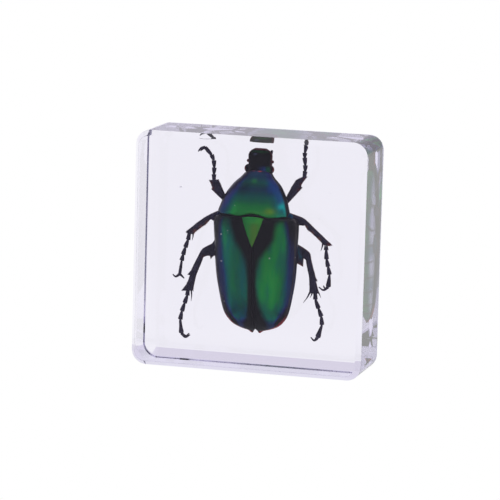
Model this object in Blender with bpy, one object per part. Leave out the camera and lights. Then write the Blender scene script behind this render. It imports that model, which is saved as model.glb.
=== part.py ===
"""A green flower beetle sealed in a clear resin block that stands on its narrow side.

Metres, +Z up. The origin is at the middle of the face that the block stands on. The show face looks
towards -Y, and the beetle is seen from its back, head up.
"""

import math

import bmesh
import bpy
from mathutils import Vector

MM = 0.001

# The block
BLOCK_SIDE = 38.0 * MM
BLOCK_DEPTH = 12.9 * MM
CORNER_RADIUS = 2.4 * MM
BEVEL_ON_FACE = 0.75 * MM
BEVEL_ON_SIDES = 1.2 * MM
BACK_BEVEL_ON_FACE = 1.6 * MM
BACK_BEVEL_ON_SIDES = 0.75 * MM
CORNER_STEPS = 6

# Where the solid block is parted round the specimen, half the width of the channels round its legs, how far
# these run past the legs' ends, and how far along the hip the thigh's channel begins
PARTING_Y = 0.25 * MM
PARTING_GAP = 0.3 * MM
THIGH_CHANNEL = 1.9 * MM
SHIN_CHANNEL = 1.7 * MM
LOBE_CHANNEL = 1.3 * MM
TARSUS_CHANNEL = 0.8 * MM
CHANNEL_SIDES = 6
CHANNEL_FLATNESS = 0.72
CHANNEL_SPARE = 0.5 * MM
LIMB_SPARE = 1.0 * MM
THIGH_CHANNEL_FROM = 0.4

# The middle of the specimen in millimetres from the block's middle. All its stations count from there.
SPECIMEN_AT = (0.48, -1.05, 0.145)

# Stations of the pocket round the body in millimetres: height, half width, back, underside
POCKET_STATIONS = (
    (17.1, 2.7, -0.6, 2.9),
    (14.0, 3.5, -1.5, 3.1),
    (12.4, 4.2, -2.5, 3.2),
    (9.0, 6.1, -3.7, 3.9),
    (5.6, 7.5, -4.05, 4.3),
    (1.0, 7.6, -4.15, 4.35),
    (-4.0, 7.3, -3.9, 4.0),
    (-8.5, 6.6, -3.0, 3.3),
    (-10.6, 6.1, -2.3, 2.8),
    (-12.3, 4.7, -1.5, 2.4),
    (-13.8, 2.9, -0.7, 2.0),
)

# The beetle's body in millimetres. Across is X, along is Z with the head up, the back looks towards -Y.
EDGE_Y = 0.7
WING_CASE_UNDERSIDE_Y = 1.0
WING_CASE_UNDERSIDE = (0.94, 0.5, 0.0)
BODY_SIDES = 28
WING_CASE_STEPS = 9
DOME_SQUARENESS = 0.9
SUTURE_DEPTH = 0.16

# Stations of a wing case in millimetres: height, inner edge, outer edge, top of the dome
WING_CASE_STATIONS = (
    (6.1, 0.04, 4.6, -2.7),
    (5.7, 0.04, 6.25, -3.0),
    (4.9, 0.04, 6.95, -3.25),
    (3.2, 0.04, 6.95, -3.5),
    (1.6, 0.04, 6.85, -3.6),
    (-1.2, 0.04, 6.75, -3.5),
    (-4.2, 0.04, 6.5, -3.2),
    (-7.0, 0.04, 6.02, -2.7),
    (-9.0, 0.04, 5.58, -2.17),
    (-10.2, 0.04, 5.15, -1.75),
    (-11.0, 0.04, 4.62, -1.4),
    (-11.7, 0.04, 3.93, -1.05),
    (-12.2, 0.04, 3.15, -0.7),
    (-12.55, 0.1, 2.2, -0.35),
    (-12.8, 0.3, 1.3, 0.0),
    (-13.0, 0.48, 0.8, 0.3),
)
WING_CASE_LEAN = -0.022

# Stations of the pronotum: height, middle, half width, top of the dome
PRONOTUM_STATIONS = (
    (5.95, -0.35, 5.5, -2.75),
    (6.15, -0.38, 5.88, -3.05),
    (7.2, -0.3, 5.64, -3.2),
    (9.0, -0.15, 5.0, -3.1),
    (10.8, 0.05, 3.9, -2.6),
    (12.0, 0.14, 2.72, -1.95),
    (12.75, 0.25, 2.1, -1.35),
    (13.15, 0.33, 1.3, -0.85),
)
PRONOTUM_UNDERSIDE_Y = 1.6

# Stations of the head: height, half width, back, underside
HEAD_STATIONS = (
    (12.2, 1.85, -0.3, 2.3),
    (13.2, 2.05, -0.5, 2.5),
    (14.0, 1.95, -0.45, 2.4),
    (14.7, 1.94, -0.3, 2.3),
    (15.8, 1.98, 0.1, 2.0),
    (16.3, 1.75, 0.35, 1.8),
    (16.6, 1.1, 0.6, 1.6),
)
HEAD_X = 0.33
EYE_RADIUS = 0.68
EYE_SPREAD = 1.77
EYES_X = 0.21
EYE_AT = (0.9, 13.3)
FEELER_ROOT = (1.1, 0.9, 14.4)
FEELER_TIP = (1.95, 0.9, 14.6)

# Stations of the underbody: height, half width, back, underside.
# The belly's rings step in from one to the next.
UNDERBODY_STATIONS = (
    (12.2, 1.9, 0.2, 2.2),
    (10.6, 3.5, 0.1, 2.9),
    (8.2, 4.7, 0.0, 3.5),
    (7.0, 4.9, 0.0, 3.2),
    (5.4, 5.4, 0.0, 3.9),
    (2.0, 5.9, 0.0, 3.95),
    (0.2, 6.0, 0.0, 3.85),
    (-0.1, 6.0, 0.0, 3.55),
    (-2.6, 6.0, 0.0, 3.6),
    (-2.8, 5.85, 0.0, 3.35),
    (-5.2, 5.7, 0.0, 3.35),
    (-5.4, 5.55, 0.0, 3.1),
    (-7.6, 5.25, 0.0, 3.0),
    (-7.8, 5.1, 0.0, 2.75),
    (-9.8, 4.5, 0.0, 2.5),
    (-10.0, 4.3, 0.0, 2.3),
    (-11.6, 3.1, 0.2, 1.9),
    (-12.5, 1.5, 0.5, 1.4),
)

# The scutellum in millimetres: its front edge, its tip and how far it stands above the wing cases
SCUTELLUM_FRONT = 5.85
SCUTELLUM_TIP = 1.25
SCUTELLUM_HALF_WIDTH = 1.75
SCUTELLUM_TIP_WIDTH = 0.06
SCUTELLUM_TAPER = 0.9
SCUTELLUM_RISE = 0.1
SCUTELLUM_THICKNESS = 0.7
SCUTELLUM_STEPS = 6

# The legs' forms in millimetres: half widths of a tarsus joint near its start and end, and of claws, spurs
# and feelers from root to tip
LIMB_SIDES = 8
TARSUS_FLATNESS = 0.72
TARSUS_NECK = 0.18
TARSUS_FLARE = 0.4
TARSUS_NECK_AT = 0.12
TARSUS_FLARE_AT = 0.88
CLAW_WIDTHS = (0.17, 0.12, 0.035)
CLAW_SPLAY = 0.25
SPUR_WIDTHS = (0.16, 0.11, 0.04)
FEELER_WIDTHS = (0.22, 0.25, 0.26)
SPIKE_SIDES = 6
SPIKE_FLATNESS = 0.9

# Each leg in millimetres. The limb's stations run from inside the body over the knee to the shin's end:
# across and height of one edge, across and height of the other, depth and half thickness. Teeth are corners
# of an edge. The tarsus is given by its joints (across, height) from the shin's end, a claw by its bend and
# its tip, a spur by its root and its tip.
LEGS = {
    "left_front": {
        "limb": (
            (-5.12, 6.68, -4.4, 7.7, 1.7, 0.5), (-5.87, 7.9, -5.36, 8.7, 1.45, 0.42),
            (-6.59, 8.51, -5.75, 9.5, 1.3, 0.42), (-7.22, 9.06, -5.98, 9.97, 1.3, 0.4),
            (-7.71, 9.47, -6.12, 10.25, 1.3, 0.34), (-7.57, 9.67, -6.17, 10.36, 1.3, 0.36),
            (-7.64, 9.99, -6.26, 10.54, 1.3, 0.38), (-7.86, 10.46, -6.44, 10.87, 1.3, 0.38),
            (-8.13, 10.88, -6.59, 11.07, 1.3, 0.34), (-7.94, 10.97, -6.73, 11.13, 1.3, 0.26),
        ),
        "tarsus": (
            (-7.32, 11.01), (-7.35, 11.93), (-7.32, 13.01), (-7.42, 14.17), (-7.82, 15.03), (-8.92, 16.19),
        ),
        "claws": ((-9.56, 16.02, -10.01, 15.46), (-9.36, 15.9, -9.72, 15.54)),
        "spurs": (),
    },
    "right_front": {
        "limb": (
            (3.82, 6.71, 3.7, 7.83, 1.7, 0.5), (4.94, 7.98, 4.68, 9.09, 1.45, 0.42),
            (5.48, 8.59, 5.0, 9.73, 1.3, 0.42), (6.19, 9.41, 5.45, 10.64, 1.3, 0.42),
            (6.84, 10.16, 5.87, 11.36, 1.3, 0.4), (7.25, 10.66, 6.14, 11.73, 1.3, 0.34),
            (7.05, 10.97, 6.25, 11.88, 1.3, 0.36), (7.28, 11.43, 6.62, 12.13, 1.3, 0.38),
            (7.65, 11.97, 7.0, 12.31, 1.3, 0.36), (8.0, 12.47, 7.21, 12.44, 1.3, 0.32),
            (7.8, 12.54, 7.33, 12.54, 1.3, 0.25),
        ),
        "tarsus": (
            (7.54, 12.44), (7.66, 13.36), (7.66, 14.32), (7.51, 15.54), (7.52, 16.27), (7.7, 17.3),
        ),
        "claws": ((7.95, 17.75, 7.95, 18.05), (7.4, 17.7, 7.3, 17.95)),
        "spurs": (),
    },
    "left_middle": {
        "limb": (
            (-5.4, 6.53, -5.34, 4.27, 2.1, 0.8), (-6.79, 5.99, -6.91, 4.29, 1.8, 0.7),
            (-7.16, 5.81, -7.31, 4.42, 1.6, 0.6), (-7.72, 5.52, -7.71, 4.62, 1.5, 0.48),
            (-8.36, 5.15, -7.94, 4.4, 1.4, 0.42), (-9.16, 4.59, -8.45, 3.82, 1.3, 0.4),
            (-9.98, 3.96, -9.29, 3.18, 1.3, 0.4), (-10.71, 3.31, -9.91, 2.7, 1.3, 0.42),
            (-11.37, 2.75, -10.32, 2.3, 1.3, 0.42), (-11.79, 2.38, -10.57, 2.15, 1.3, 0.34),
            (-11.55, 2.13, -10.76, 2.04, 1.3, 0.26),
        ),
        "tarsus": (
            (-11.22, 2.13), (-11.39, 1.07), (-11.83, -0.21), (-12.17, -1.4), (-12.38, -2.38), (-12.66, -4.6),
        ),
        "claws": ((-13.36, -5.04, -13.77, -4.68), (-12.29, -4.92, -11.94, -5.28)),
        "spurs": ((-10.57, 2.19, -10.77, 1.0),),
    },
    "right_middle": {
        "limb": (
            (4.2, 6.84, 4.27, 4.59, 2.1, 0.8), (5.45, 6.44, 6.0, 4.76, 1.8, 0.7),
            (6.48, 6.19, 6.86, 4.64, 1.6, 0.6), (7.33, 5.95, 7.6, 4.6, 1.5, 0.5),
            (7.83, 5.71, 7.87, 4.73, 1.4, 0.44), (8.28, 5.39, 8.02, 4.43, 1.3, 0.42),
            (8.79, 4.95, 8.34, 4.03, 1.3, 0.42), (9.71, 4.16, 9.13, 3.49, 1.3, 0.4),
            (10.64, 3.37, 9.9, 2.84, 1.3, 0.42), (11.48, 2.64, 10.52, 2.3, 1.3, 0.42),
            (12.07, 2.17, 10.86, 1.97, 1.3, 0.42), (12.44, 1.84, 11.03, 1.81, 1.3, 0.34),
            (11.95, 1.68, 11.26, 1.69, 1.3, 0.26),
        ),
        "tarsus": (
            (11.45, 1.62), (11.47, 1.0), (11.59, -0.5), (11.88, -1.66), (12.16, -2.94), (12.0, -4.92),
        ),
        "claws": ((11.24, -5.46, 10.49, -5.0), (11.48, -5.21, 11.16, -4.79)),
        "spurs": ((10.89, 1.96, 10.54, 0.74),),
    },
    "left_hind": {
        "limb": (
            (-5.28, 1.34, -5.21, -1.25, 2.2, 0.8), (-7.1, 1.26, -7.03, -1.26, 1.85, 0.75),
            (-7.48, 0.7, -7.29, -1.44, 1.8, 0.75), (-7.63, 0.6, -7.56, -1.83, 1.7, 0.7),
            (-7.79, 0.52, -7.75, -1.33, 1.7, 0.68), (-8.43, 0.16, -8.23, -1.35, 1.6, 0.6),
            (-8.91, -0.15, -8.62, -1.52, 1.5, 0.52), (-9.27, -0.6, -8.79, -1.6, 1.45, 0.46),
            (-9.55, -1.2, -8.89, -1.93, 1.4, 0.42), (-10.05, -2.22, -9.09, -2.52, 1.3, 0.4),
            (-10.5, -3.22, -9.42, -3.39, 1.3, 0.4), (-10.79, -3.85, -9.64, -3.94, 1.3, 0.4),
            (-11.37, -4.59, -9.86, -4.6, 1.3, 0.36), (-10.95, -4.65, -9.91, -4.78, 1.3, 0.4),
            (-11.15, -5.31, -10.04, -5.39, 1.3, 0.42), (-11.53, -6.2, -10.22, -6.32, 1.3, 0.44),
            (-12.35, -7.29, -10.3, -7.01, 1.3, 0.36), (-11.7, -7.25, -10.31, -7.12, 1.3, 0.3),
        ),
        "tarsus": (
            (-11.21, -7.03), (-11.3, -7.98), (-11.73, -9.29), (-12.15, -10.63), (-12.4, -12.02),
            (-12.14, -14.25),
        ),
        "claws": ((-11.44, -14.82, -10.64, -14.37), (-11.36, -14.63, -10.87, -14.17)),
        "spurs": ((-10.66, -6.99, -10.71, -8.92),),
    },
    "right_hind": {
        "limb": (
            (4.65, 2.03, 4.75, -1.35, 2.2, 0.8), (6.48, 1.69, 6.46, -1.49, 1.85, 0.75),
            (7.0, 1.41, 7.01, -1.68, 1.75, 0.65), (7.6, 1.11, 7.68, -2.01, 1.7, 0.55),
            (7.69, 1.05, 7.7, -1.32, 1.7, 0.6), (7.85, 0.97, 7.74, -0.63, 1.65, 0.58),
            (8.3, 0.72, 7.95, -0.72, 1.55, 0.52), (8.74, 0.4, 8.19, -0.86, 1.5, 0.48),
            (8.93, 0.0, 8.22, -1.05, 1.45, 0.44), (9.07, -0.71, 8.29, -1.49, 1.4, 0.42),
            (9.44, -1.97, 8.55, -2.43, 1.3, 0.4), (9.73, -2.89, 8.74, -3.22, 1.3, 0.4),
            (9.9, -3.49, 8.82, -3.7, 1.3, 0.4), (10.18, -4.0, 8.85, -4.18, 1.3, 0.36),
            (9.99, -4.16, 8.88, -4.4, 1.3, 0.4), (10.21, -4.92, 8.92, -5.14, 1.3, 0.42),
            (10.45, -5.71, 8.92, -5.79, 1.3, 0.42), (10.56, -6.06, 8.92, -6.18, 1.3, 0.34),
        ),
        "tarsus": (
            (9.9, -5.96), (9.96, -7.09), (10.52, -8.5), (11.02, -9.76), (11.17, -11.12), (10.52, -13.22),
        ),
        "claws": ((9.99, -13.71, 9.44, -13.22), (10.21, -13.61, 10.12, -13.25)),
        "spurs": ((9.05, -5.95, 7.94, -7.79), (9.45, -5.9, 9.02, -6.9), (10.3, -5.75, 10.79, -6.77)),
    },
}

# Which station of a limb is its knee, which one of the right hind limb is the lobe under its thigh, and the
# depths of the feet and of the spurs' tips in millimetres
KNEE_STATION = {"front": 3, "middle": 4, "hind": 7}
LOBE_STATION = 3
FOOT_Y = 1.3
SPUR_TIP_Y = 1.6

MIDDLE_Z = BLOCK_SIDE / 2


def clear_scene():
    for item in list(bpy.data.objects):
        bpy.data.objects.remove(item, do_unlink=True)


def make_material(name, colour, roughness, metallic=0.0, transmission=0.0):
    material = bpy.data.materials.new(name)
    material.use_nodes = True
    shader = material.node_tree.nodes["Principled BSDF"]
    shader.inputs["Base Color"].default_value = (*colour, 1.0)
    shader.inputs["Roughness"].default_value = roughness
    shader.inputs["Metallic"].default_value = metallic
    shader.inputs["Transmission Weight"].default_value = transmission
    return material


def resin_material():
    return make_material("clear_resin", (0.95, 0.94, 0.98), 0.02, transmission=1.0)


def beetle_material():
    return make_material("green_beetle_shell", (0.02, 0.22, 0.08), 0.3, metallic=0.6)


def loft(rings):
    """A closed skin over rings of equal length, each end closed by one face."""
    mesh = bmesh.new()
    rows = [[mesh.verts.new(point) for point in ring] for ring in rings]
    count = len(rows[0])
    for lower, upper in zip(rows, rows[1:]):
        for i in range(count):
            j = (i + 1) % count
            mesh.faces.new((lower[i], lower[j], upper[j], upper[i]))
    mesh.faces.new(rows[0])
    mesh.faces.new(rows[-1])
    bmesh.ops.recalc_face_normals(mesh, faces=mesh.faces)
    return mesh


def make_object(name, skins, material=None, smooth_deg=35.0):
    """One object from closed skins, shaded smooth up to the given crease angle."""
    whole = bmesh.new()
    for skin in skins:
        part = bpy.data.meshes.new(name)
        skin.to_mesh(part)
        skin.free()
        whole.from_mesh(part)
        bpy.data.meshes.remove(part)
    data = bpy.data.meshes.new(name)
    whole.to_mesh(data)
    whole.free()
    data.shade_smooth()
    data.set_sharp_from_angle(angle=math.radians(smooth_deg))
    item = bpy.data.objects.new(name, data)
    bpy.context.scene.collection.objects.link(item)
    if material:
        data.materials.append(material)
    return item


def combine(item, tool, operation, crossing=False):
    """Adds or cuts a hidden shape with an exact Boolean. A shape whose own skins cross is marked crossing."""
    tool.hide_render = True
    tool.display_type = "WIRE"
    modifier = item.modifiers.new(tool.name, "BOOLEAN")
    modifier.operation = operation
    modifier.solver = "EXACT"
    modifier.use_self = crossing
    modifier.object = tool


def signed_power(value, power):
    return math.copysign(abs(value) ** power, value)


def place(across, y, height):
    """A point of the specimen or its pocket, given in millimetres from the specimen's middle."""
    middle = Vector(SPECIMEN_AT)
    return (Vector((across, y, height)) + middle) * MM + Vector((0, 0, MIDDLE_Z))


def oval_ring(centre_x, height, half_width, back_y, under_y):
    """A level ring that is fullest at its sides: the back and the underside have their own depths."""
    level = (back_y + under_y) / 2
    ring = []
    for i in range(BODY_SIDES):
        turn = 2 * math.pi * i / BODY_SIDES
        reach = (back_y if math.sin(turn) > 0 else under_y) - level
        x = centre_x + half_width * signed_power(math.cos(turn), DOME_SQUARENESS)
        y = level + reach * abs(math.sin(turn)) ** DOME_SQUARENESS
        ring.append(place(x, y, height))
    return ring


def body_loft(stations, centre_x):
    """A body part through its stations."""
    return loft([oval_ring(centre_x, *station) for station in stations])


def underbody():
    return body_loft(UNDERBODY_STATIONS, 0.0)


def wing_case_lean(height):
    """How far the suture has moved across at this height."""
    return WING_CASE_LEAN * (height - WING_CASE_STATIONS[0][0])


def dome_y(top, turn):
    """The dome's depth at a turn from its middle, 0, to its outer edge, a quarter circle."""
    return EDGE_Y + (top - EDGE_Y) * math.cos(turn) ** DOME_SQUARENESS


def wing_case(side):
    """One wing case: a quarter dome from the suture to the outer edge, closed underneath."""
    rings = []
    for height, inner, outer, top in WING_CASE_STATIONS:
        lean = wing_case_lean(height)
        ring = []
        for i in range(WING_CASE_STEPS + 1):
            turn = math.pi / 2 * i / WING_CASE_STEPS
            x = inner + (outer - inner) * math.sin(turn)
            groove = SUTURE_DEPTH if i == 0 else 0.0
            ring.append(place(side * x + lean, dome_y(top, turn) + groove, height))
        for across in WING_CASE_UNDERSIDE:
            x = inner + (outer - inner) * across
            ring.append(place(side * x + lean, WING_CASE_UNDERSIDE_Y, height))
        rings.append(ring)
    return loft(rings)


def pronotum():
    """The neck shield: a dome that narrows to the head and leans a little to the right."""
    rings = []
    for height, middle, half_width, top in PRONOTUM_STATIONS:
        ring = []
        for i in range(BODY_SIDES):
            turn = 2 * math.pi * i / BODY_SIDES
            far = top if math.sin(turn) > 0 else PRONOTUM_UNDERSIDE_Y
            y = EDGE_Y + (far - EDGE_Y) * abs(math.sin(turn)) ** DOME_SQUARENESS
            ring.append(place(middle + half_width * math.cos(turn), y, height))
        rings.append(ring)
    return loft(rings)


def between(stations, height):
    """The values of a part's stations, worked out in proportion at a height between two of them."""
    for above, below in zip(stations, stations[1:]):
        if above[0] >= height >= below[0]:
            part = (above[0] - height) / (above[0] - below[0])
            return [a + (b - a) * part for a, b in zip(above, below)]
    return list(stations[-1])


def scutellum():
    """The small triangle between the wing cases, which follows their dome and stands a little above it."""
    rings = []
    for i in range(SCUTELLUM_STEPS + 1):
        part = i / SCUTELLUM_STEPS
        height = SCUTELLUM_FRONT + (SCUTELLUM_TIP - SCUTELLUM_FRONT) * part
        half_width = SCUTELLUM_HALF_WIDTH * (1 - part) ** SCUTELLUM_TAPER + SCUTELLUM_TIP_WIDTH
        _, _, outer, top = between(WING_CASE_STATIONS, height)
        lean = wing_case_lean(height)
        edge = dome_y(top, math.asin(half_width / outer))
        ring = []
        for across in (-1.0, -0.5, 0.0, 0.5, 1.0):
            x = half_width * across
            ring.append(place(x + lean, dome_y(top, math.asin(x / outer)) - SCUTELLUM_RISE, height))
        for across in (1.0, -1.0):
            ring.append(place(half_width * across + lean, edge + SCUTELLUM_THICKNESS, height))
        rings.append(ring)
    return loft(rings)


def head():
    return body_loft(HEAD_STATIONS, HEAD_X)


def ball(centre, radius):
    mesh = bmesh.new()
    bmesh.ops.create_uvsphere(mesh, u_segments=12, v_segments=8, radius=radius)
    bmesh.ops.translate(mesh, verts=mesh.verts, vec=centre)
    return mesh


def eyes():
    y, height = EYE_AT
    return [ball(place(EYES_X + side * EYE_SPREAD, y, height), EYE_RADIUS * MM) for side in (-1, 1)]


def tube_rings(points, widths, sides, flatness):
    """Rings along points in a plane that faces -Y: width across the plane, flatness gives their depth."""
    rings = []
    for i, point in enumerate(points):
        ahead = points[min(i + 1, len(points) - 1)]
        behind = points[max(i - 1, 0)]
        along = (ahead - behind).normalized()
        side = along.cross(Vector((0, 1, 0))).normalized()
        depth = side.cross(along).normalized()
        ring = []
        for j in range(sides):
            turn = 2 * math.pi * j / sides
            ring.append(
                point
                + side * widths[i] * math.cos(turn)
                + depth * widths[i] * flatness * math.sin(turn)
            )
        rings.append(ring)
    return rings


def tube(points, widths, sides, flatness):
    return loft(tube_rings(points, widths, sides, flatness))


def limb_middles(leg):
    """The points halfway between a limb's two edges."""
    return [place((x1 + x2) / 2, y, (z1 + z2) / 2) for x1, z1, x2, z2, y, _ in leg["limb"]]


def limb_rings(leg):
    """Rings that reach from one edge of the limb to the other, wound like the rings of a tube."""
    middles = limb_middles(leg)
    rings = []
    for i, (x1, z1, x2, z2, _, thickness) in enumerate(leg["limb"]):
        along = middles[min(i + 1, len(middles) - 1)] - middles[max(i - 1, 0)]
        side = Vector((x1 - x2, 0, z1 - z2)) * MM / 2
        if side.dot(along.cross(Vector((0, 1, 0)))) < 0:
            side.negate()
        depth = Vector((0, thickness * MM, 0))
        ring = []
        for j in range(LIMB_SIDES):
            turn = 2 * math.pi * j / LIMB_SIDES
            ring.append(middles[i] + side * math.cos(turn) + depth * math.sin(turn))
        rings.append(ring)
    return rings


def tarsus_joints(leg):
    return [place(across, FOOT_Y, height) for across, height in leg["tarsus"]]


def limb(leg):
    """Thigh, shin and tarsus in one skin from inside the body, each tarsus joint flaring to its end."""
    points, widths = [], []
    joints = tarsus_joints(leg)
    for start, end in zip(joints, joints[1:]):
        points += [start.lerp(end, TARSUS_NECK_AT), start.lerp(end, TARSUS_FLARE_AT)]
        widths += [TARSUS_NECK * MM, TARSUS_FLARE * MM]
    points.append(joints[-1])
    widths.append(TARSUS_NECK * MM)
    return loft(limb_rings(leg) + tube_rings(points, widths, LIMB_SIDES, TARSUS_FLATNESS))


def limbs():
    return [limb(leg) for leg in LEGS.values()]


def spike(root, middle, tip, widths):
    """A short cone in the limbs' plane, curved through its middle."""
    widths = [width * MM for width in widths]
    return tube([root, middle, tip], widths, SPIKE_SIDES, SPIKE_FLATNESS)


def claws(which):
    """One of each leg's two claws: the first splays forwards, the second backwards."""
    splay = CLAW_SPLAY if which else -CLAW_SPLAY
    skins = []
    for leg in LEGS.values():
        bend_x, bend_z, tip_x, tip_z = leg["claws"][which]
        bend = place(bend_x, FOOT_Y + splay / 2, bend_z)
        skins.append(spike(tarsus_joints(leg)[-1], bend, place(tip_x, FOOT_Y + splay, tip_z), CLAW_WIDTHS))
    return skins


def spurs():
    """The spines round a shin's end, beside the tarsus."""
    skins = []
    for leg in LEGS.values():
        for x1, z1, x2, z2 in leg["spurs"]:
            root, tip = place(x1, FOOT_Y, z1), place(x2, SPUR_TIP_Y, z2)
            skins.append(spike(root, root.lerp(tip, 0.5), tip, SPUR_WIDTHS))
    return skins


def feelers():
    """Two folded feelers that show beside the head as small clubs."""
    skins = []
    for side in (-1, 1):
        root = place(HEAD_X + side * FEELER_ROOT[0], *FEELER_ROOT[1:])
        tip = place(HEAD_X + side * FEELER_TIP[0], *FEELER_TIP[1:])
        skins.append(spike(root, root.lerp(tip, 0.5), tip, FEELER_WIDTHS))
    return skins


def make_beetle():
    """The specimen: every part overlaps the underbody and is joined with it in one solid."""
    beetle = make_object("beetle", [underbody()], beetle_material())
    skins = {
        "left_wing_case": [wing_case(-1)],
        "right_wing_case": [wing_case(1)],
        "pronotum": [pronotum()],
        "scutellum": [scutellum()],
        "head": [head()],
        "eyes": eyes(),
        "feelers": feelers(),
        "limbs": limbs(),
        "spurs": spurs(),
        "outer_claws": claws(0),
        "inner_claws": claws(1),
    }
    for name, form in skins.items():
        combine(beetle, make_object(name, form), "UNION")
    return beetle


def rounded_square(inset, y):
    """The block's outline, drawn in by inset, in the plane at y."""
    radius = CORNER_RADIUS - inset
    reach = BLOCK_SIDE / 2 - CORNER_RADIUS
    ring = []
    for quarter in range(4):
        start = math.pi / 2 * quarter
        centre_x = math.copysign(reach, math.cos(start + math.pi / 4))
        centre_z = math.copysign(reach, math.sin(start + math.pi / 4))
        for step in range(CORNER_STEPS + 1):
            turn = start + math.pi / 2 * step / CORNER_STEPS
            x = centre_x + radius * math.cos(turn)
            z = centre_z + radius * math.sin(turn)
            ring.append(Vector((x, y, z + MIDDLE_Z)))
    return ring


def straight_channel(root, tip, width, spare):
    """A plain channel that runs past its root and its tip."""
    past = (tip - root).normalized() * spare
    return tube([root - past, tip + past], [width] * 2, CHANNEL_SIDES, CHANNEL_FLATNESS)


def foot_channel(leg):
    """A plain channel along the tarsus, which widens round both claws."""
    joints = tarsus_joints(leg)
    foot = joints[-1]
    ends = []
    for bend_x, bend_z, tip_x, tip_z in leg["claws"]:
        ends += [place(bend_x, FOOT_Y, bend_z) - foot, place(tip_x, FOOT_Y, tip_z) - foot]
    way = sum(ends, Vector()).normalized()
    reach = max(end.dot(way) for end in ends)
    spread = max(end.cross(way).length for end in ends)
    points = [joints[0], joints[1], joints[3], joints[4], foot, foot + way * (reach + CHANNEL_SPARE)]
    widths = [TARSUS_CHANNEL] * 4 + [spread + CHANNEL_SPARE] * 2
    return tube(points, widths, CHANNEL_SIDES, CHANNEL_FLATNESS)


def leg_channels():
    skins = []
    for name, leg in LEGS.items():
        middles, ankle = limb_middles(leg), tarsus_joints(leg)[0]
        knee = middles[KNEE_STATION[name.split("_")[1]]]
        hip = middles[0].lerp(middles[1], THIGH_CHANNEL_FROM)
        skins.append(straight_channel(hip, knee, THIGH_CHANNEL, LIMB_SPARE))
        skins.append(straight_channel(knee, ankle, SHIN_CHANNEL, LIMB_SPARE))
        skins.append(foot_channel(leg))
    return skins


def spine_channels():
    """Short channels round the spurs and the lobe under the right hind thigh."""
    x1, z1, x2, z2, y, _ = LEGS["right_hind"]["limb"][LOBE_STATION]
    skins = [straight_channel(place(x1, y, z1), place(x2, y, z2), LOBE_CHANNEL, CHANNEL_SPARE)]
    for leg in LEGS.values():
        for x1, z1, x2, z2 in leg["spurs"]:
            root, tip = place(x1, FOOT_Y, z1), place(x2, FOOT_Y, z2)
            skins.append(straight_channel(root, tip, TARSUS_CHANNEL, CHANNEL_SPARE))
    return skins


def make_pocket():
    """The hollow round the specimen: plain forms of its body and legs with a little room to spare."""
    pocket = make_object("pocket", [body_loft(POCKET_STATIONS, 0.0)])
    combine(pocket, make_object("pocket_legs", leg_channels()), "UNION", crossing=True)
    combine(pocket, make_object("pocket_spines", spine_channels()), "UNION", crossing=True)
    pocket.hide_render = True
    pocket.display_type = "WIRE"
    return pocket


def resin_front_half():
    """From the show face, with its narrow bevel, back to the parting plane."""
    front = -BLOCK_DEPTH / 2
    return loft(
        [
            rounded_square(BEVEL_ON_FACE, front),
            rounded_square(0.0, front + BEVEL_ON_SIDES),
            rounded_square(0.0, PARTING_Y - PARTING_GAP / 2),
        ]
    )


def resin_back_half():
    """From the parting plane to the back face, with its broad and shallow bevel."""
    back = BLOCK_DEPTH / 2
    return loft(
        [
            rounded_square(0.0, PARTING_Y + PARTING_GAP / 2),
            rounded_square(0.0, back - BACK_BEVEL_ON_SIDES),
            rounded_square(BACK_BEVEL_ON_FACE, back),
        ]
    )


def make_block():
    material = resin_material()
    pocket = make_pocket()
    skins = {"resin_front_half": resin_front_half(), "resin_back_half": resin_back_half()}
    for name, skin in skins.items():
        half = make_object(name, [skin], material)
        combine(half, pocket, "DIFFERENCE")


def make_all():
    clear_scene()
    make_beetle()
    make_block()


make_all()
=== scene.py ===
import math

import bpy
import numpy as np
from mathutils import Matrix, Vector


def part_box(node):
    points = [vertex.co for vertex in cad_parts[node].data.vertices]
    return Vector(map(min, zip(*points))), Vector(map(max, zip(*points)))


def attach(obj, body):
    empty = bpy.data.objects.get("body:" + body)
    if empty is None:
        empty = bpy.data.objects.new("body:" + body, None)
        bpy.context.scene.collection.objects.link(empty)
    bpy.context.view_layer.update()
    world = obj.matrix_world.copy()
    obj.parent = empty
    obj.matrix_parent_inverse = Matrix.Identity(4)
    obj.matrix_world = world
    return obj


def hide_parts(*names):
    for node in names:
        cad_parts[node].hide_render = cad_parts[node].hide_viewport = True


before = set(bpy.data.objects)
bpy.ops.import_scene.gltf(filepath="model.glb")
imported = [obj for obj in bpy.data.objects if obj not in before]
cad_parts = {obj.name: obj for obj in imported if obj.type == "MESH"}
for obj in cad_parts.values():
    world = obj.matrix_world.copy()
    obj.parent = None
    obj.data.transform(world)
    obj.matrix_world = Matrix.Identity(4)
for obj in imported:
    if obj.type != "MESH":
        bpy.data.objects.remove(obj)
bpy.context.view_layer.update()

mm = 0.001

# every size below is in millimetres from the middle of the block: x across, y deep (the front is minus), z up
frontLow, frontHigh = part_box("resin_front_half")
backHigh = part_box("resin_back_half")[1]
blockSide = (frontHigh.x - frontLow.x) / mm
blockDepth = (backHigh.y - frontLow.y) / mm
middleZ = (frontHigh.z + frontLow.z) / 2 / mm
print("frame loaded, block %.1f x %.1f mm" % (blockSide, blockDepth))


# camera: the photo's angle, found from the block's outline in a 500 pixel frame
photo = {
    "yaw": 15.4, "pitch": 9.34, "roll": 1.561,      # degrees
    "focal": 3228.2,                                # pixels
    "middleX": 256.95, "middleY": 249.94,           # pixels
    "sidePixels": 237.19,                           # the block's side at its middle
    "frame": 500.0, "sensor": 36.0,
    "clipStart": 0.01,                              # metres
}


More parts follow.
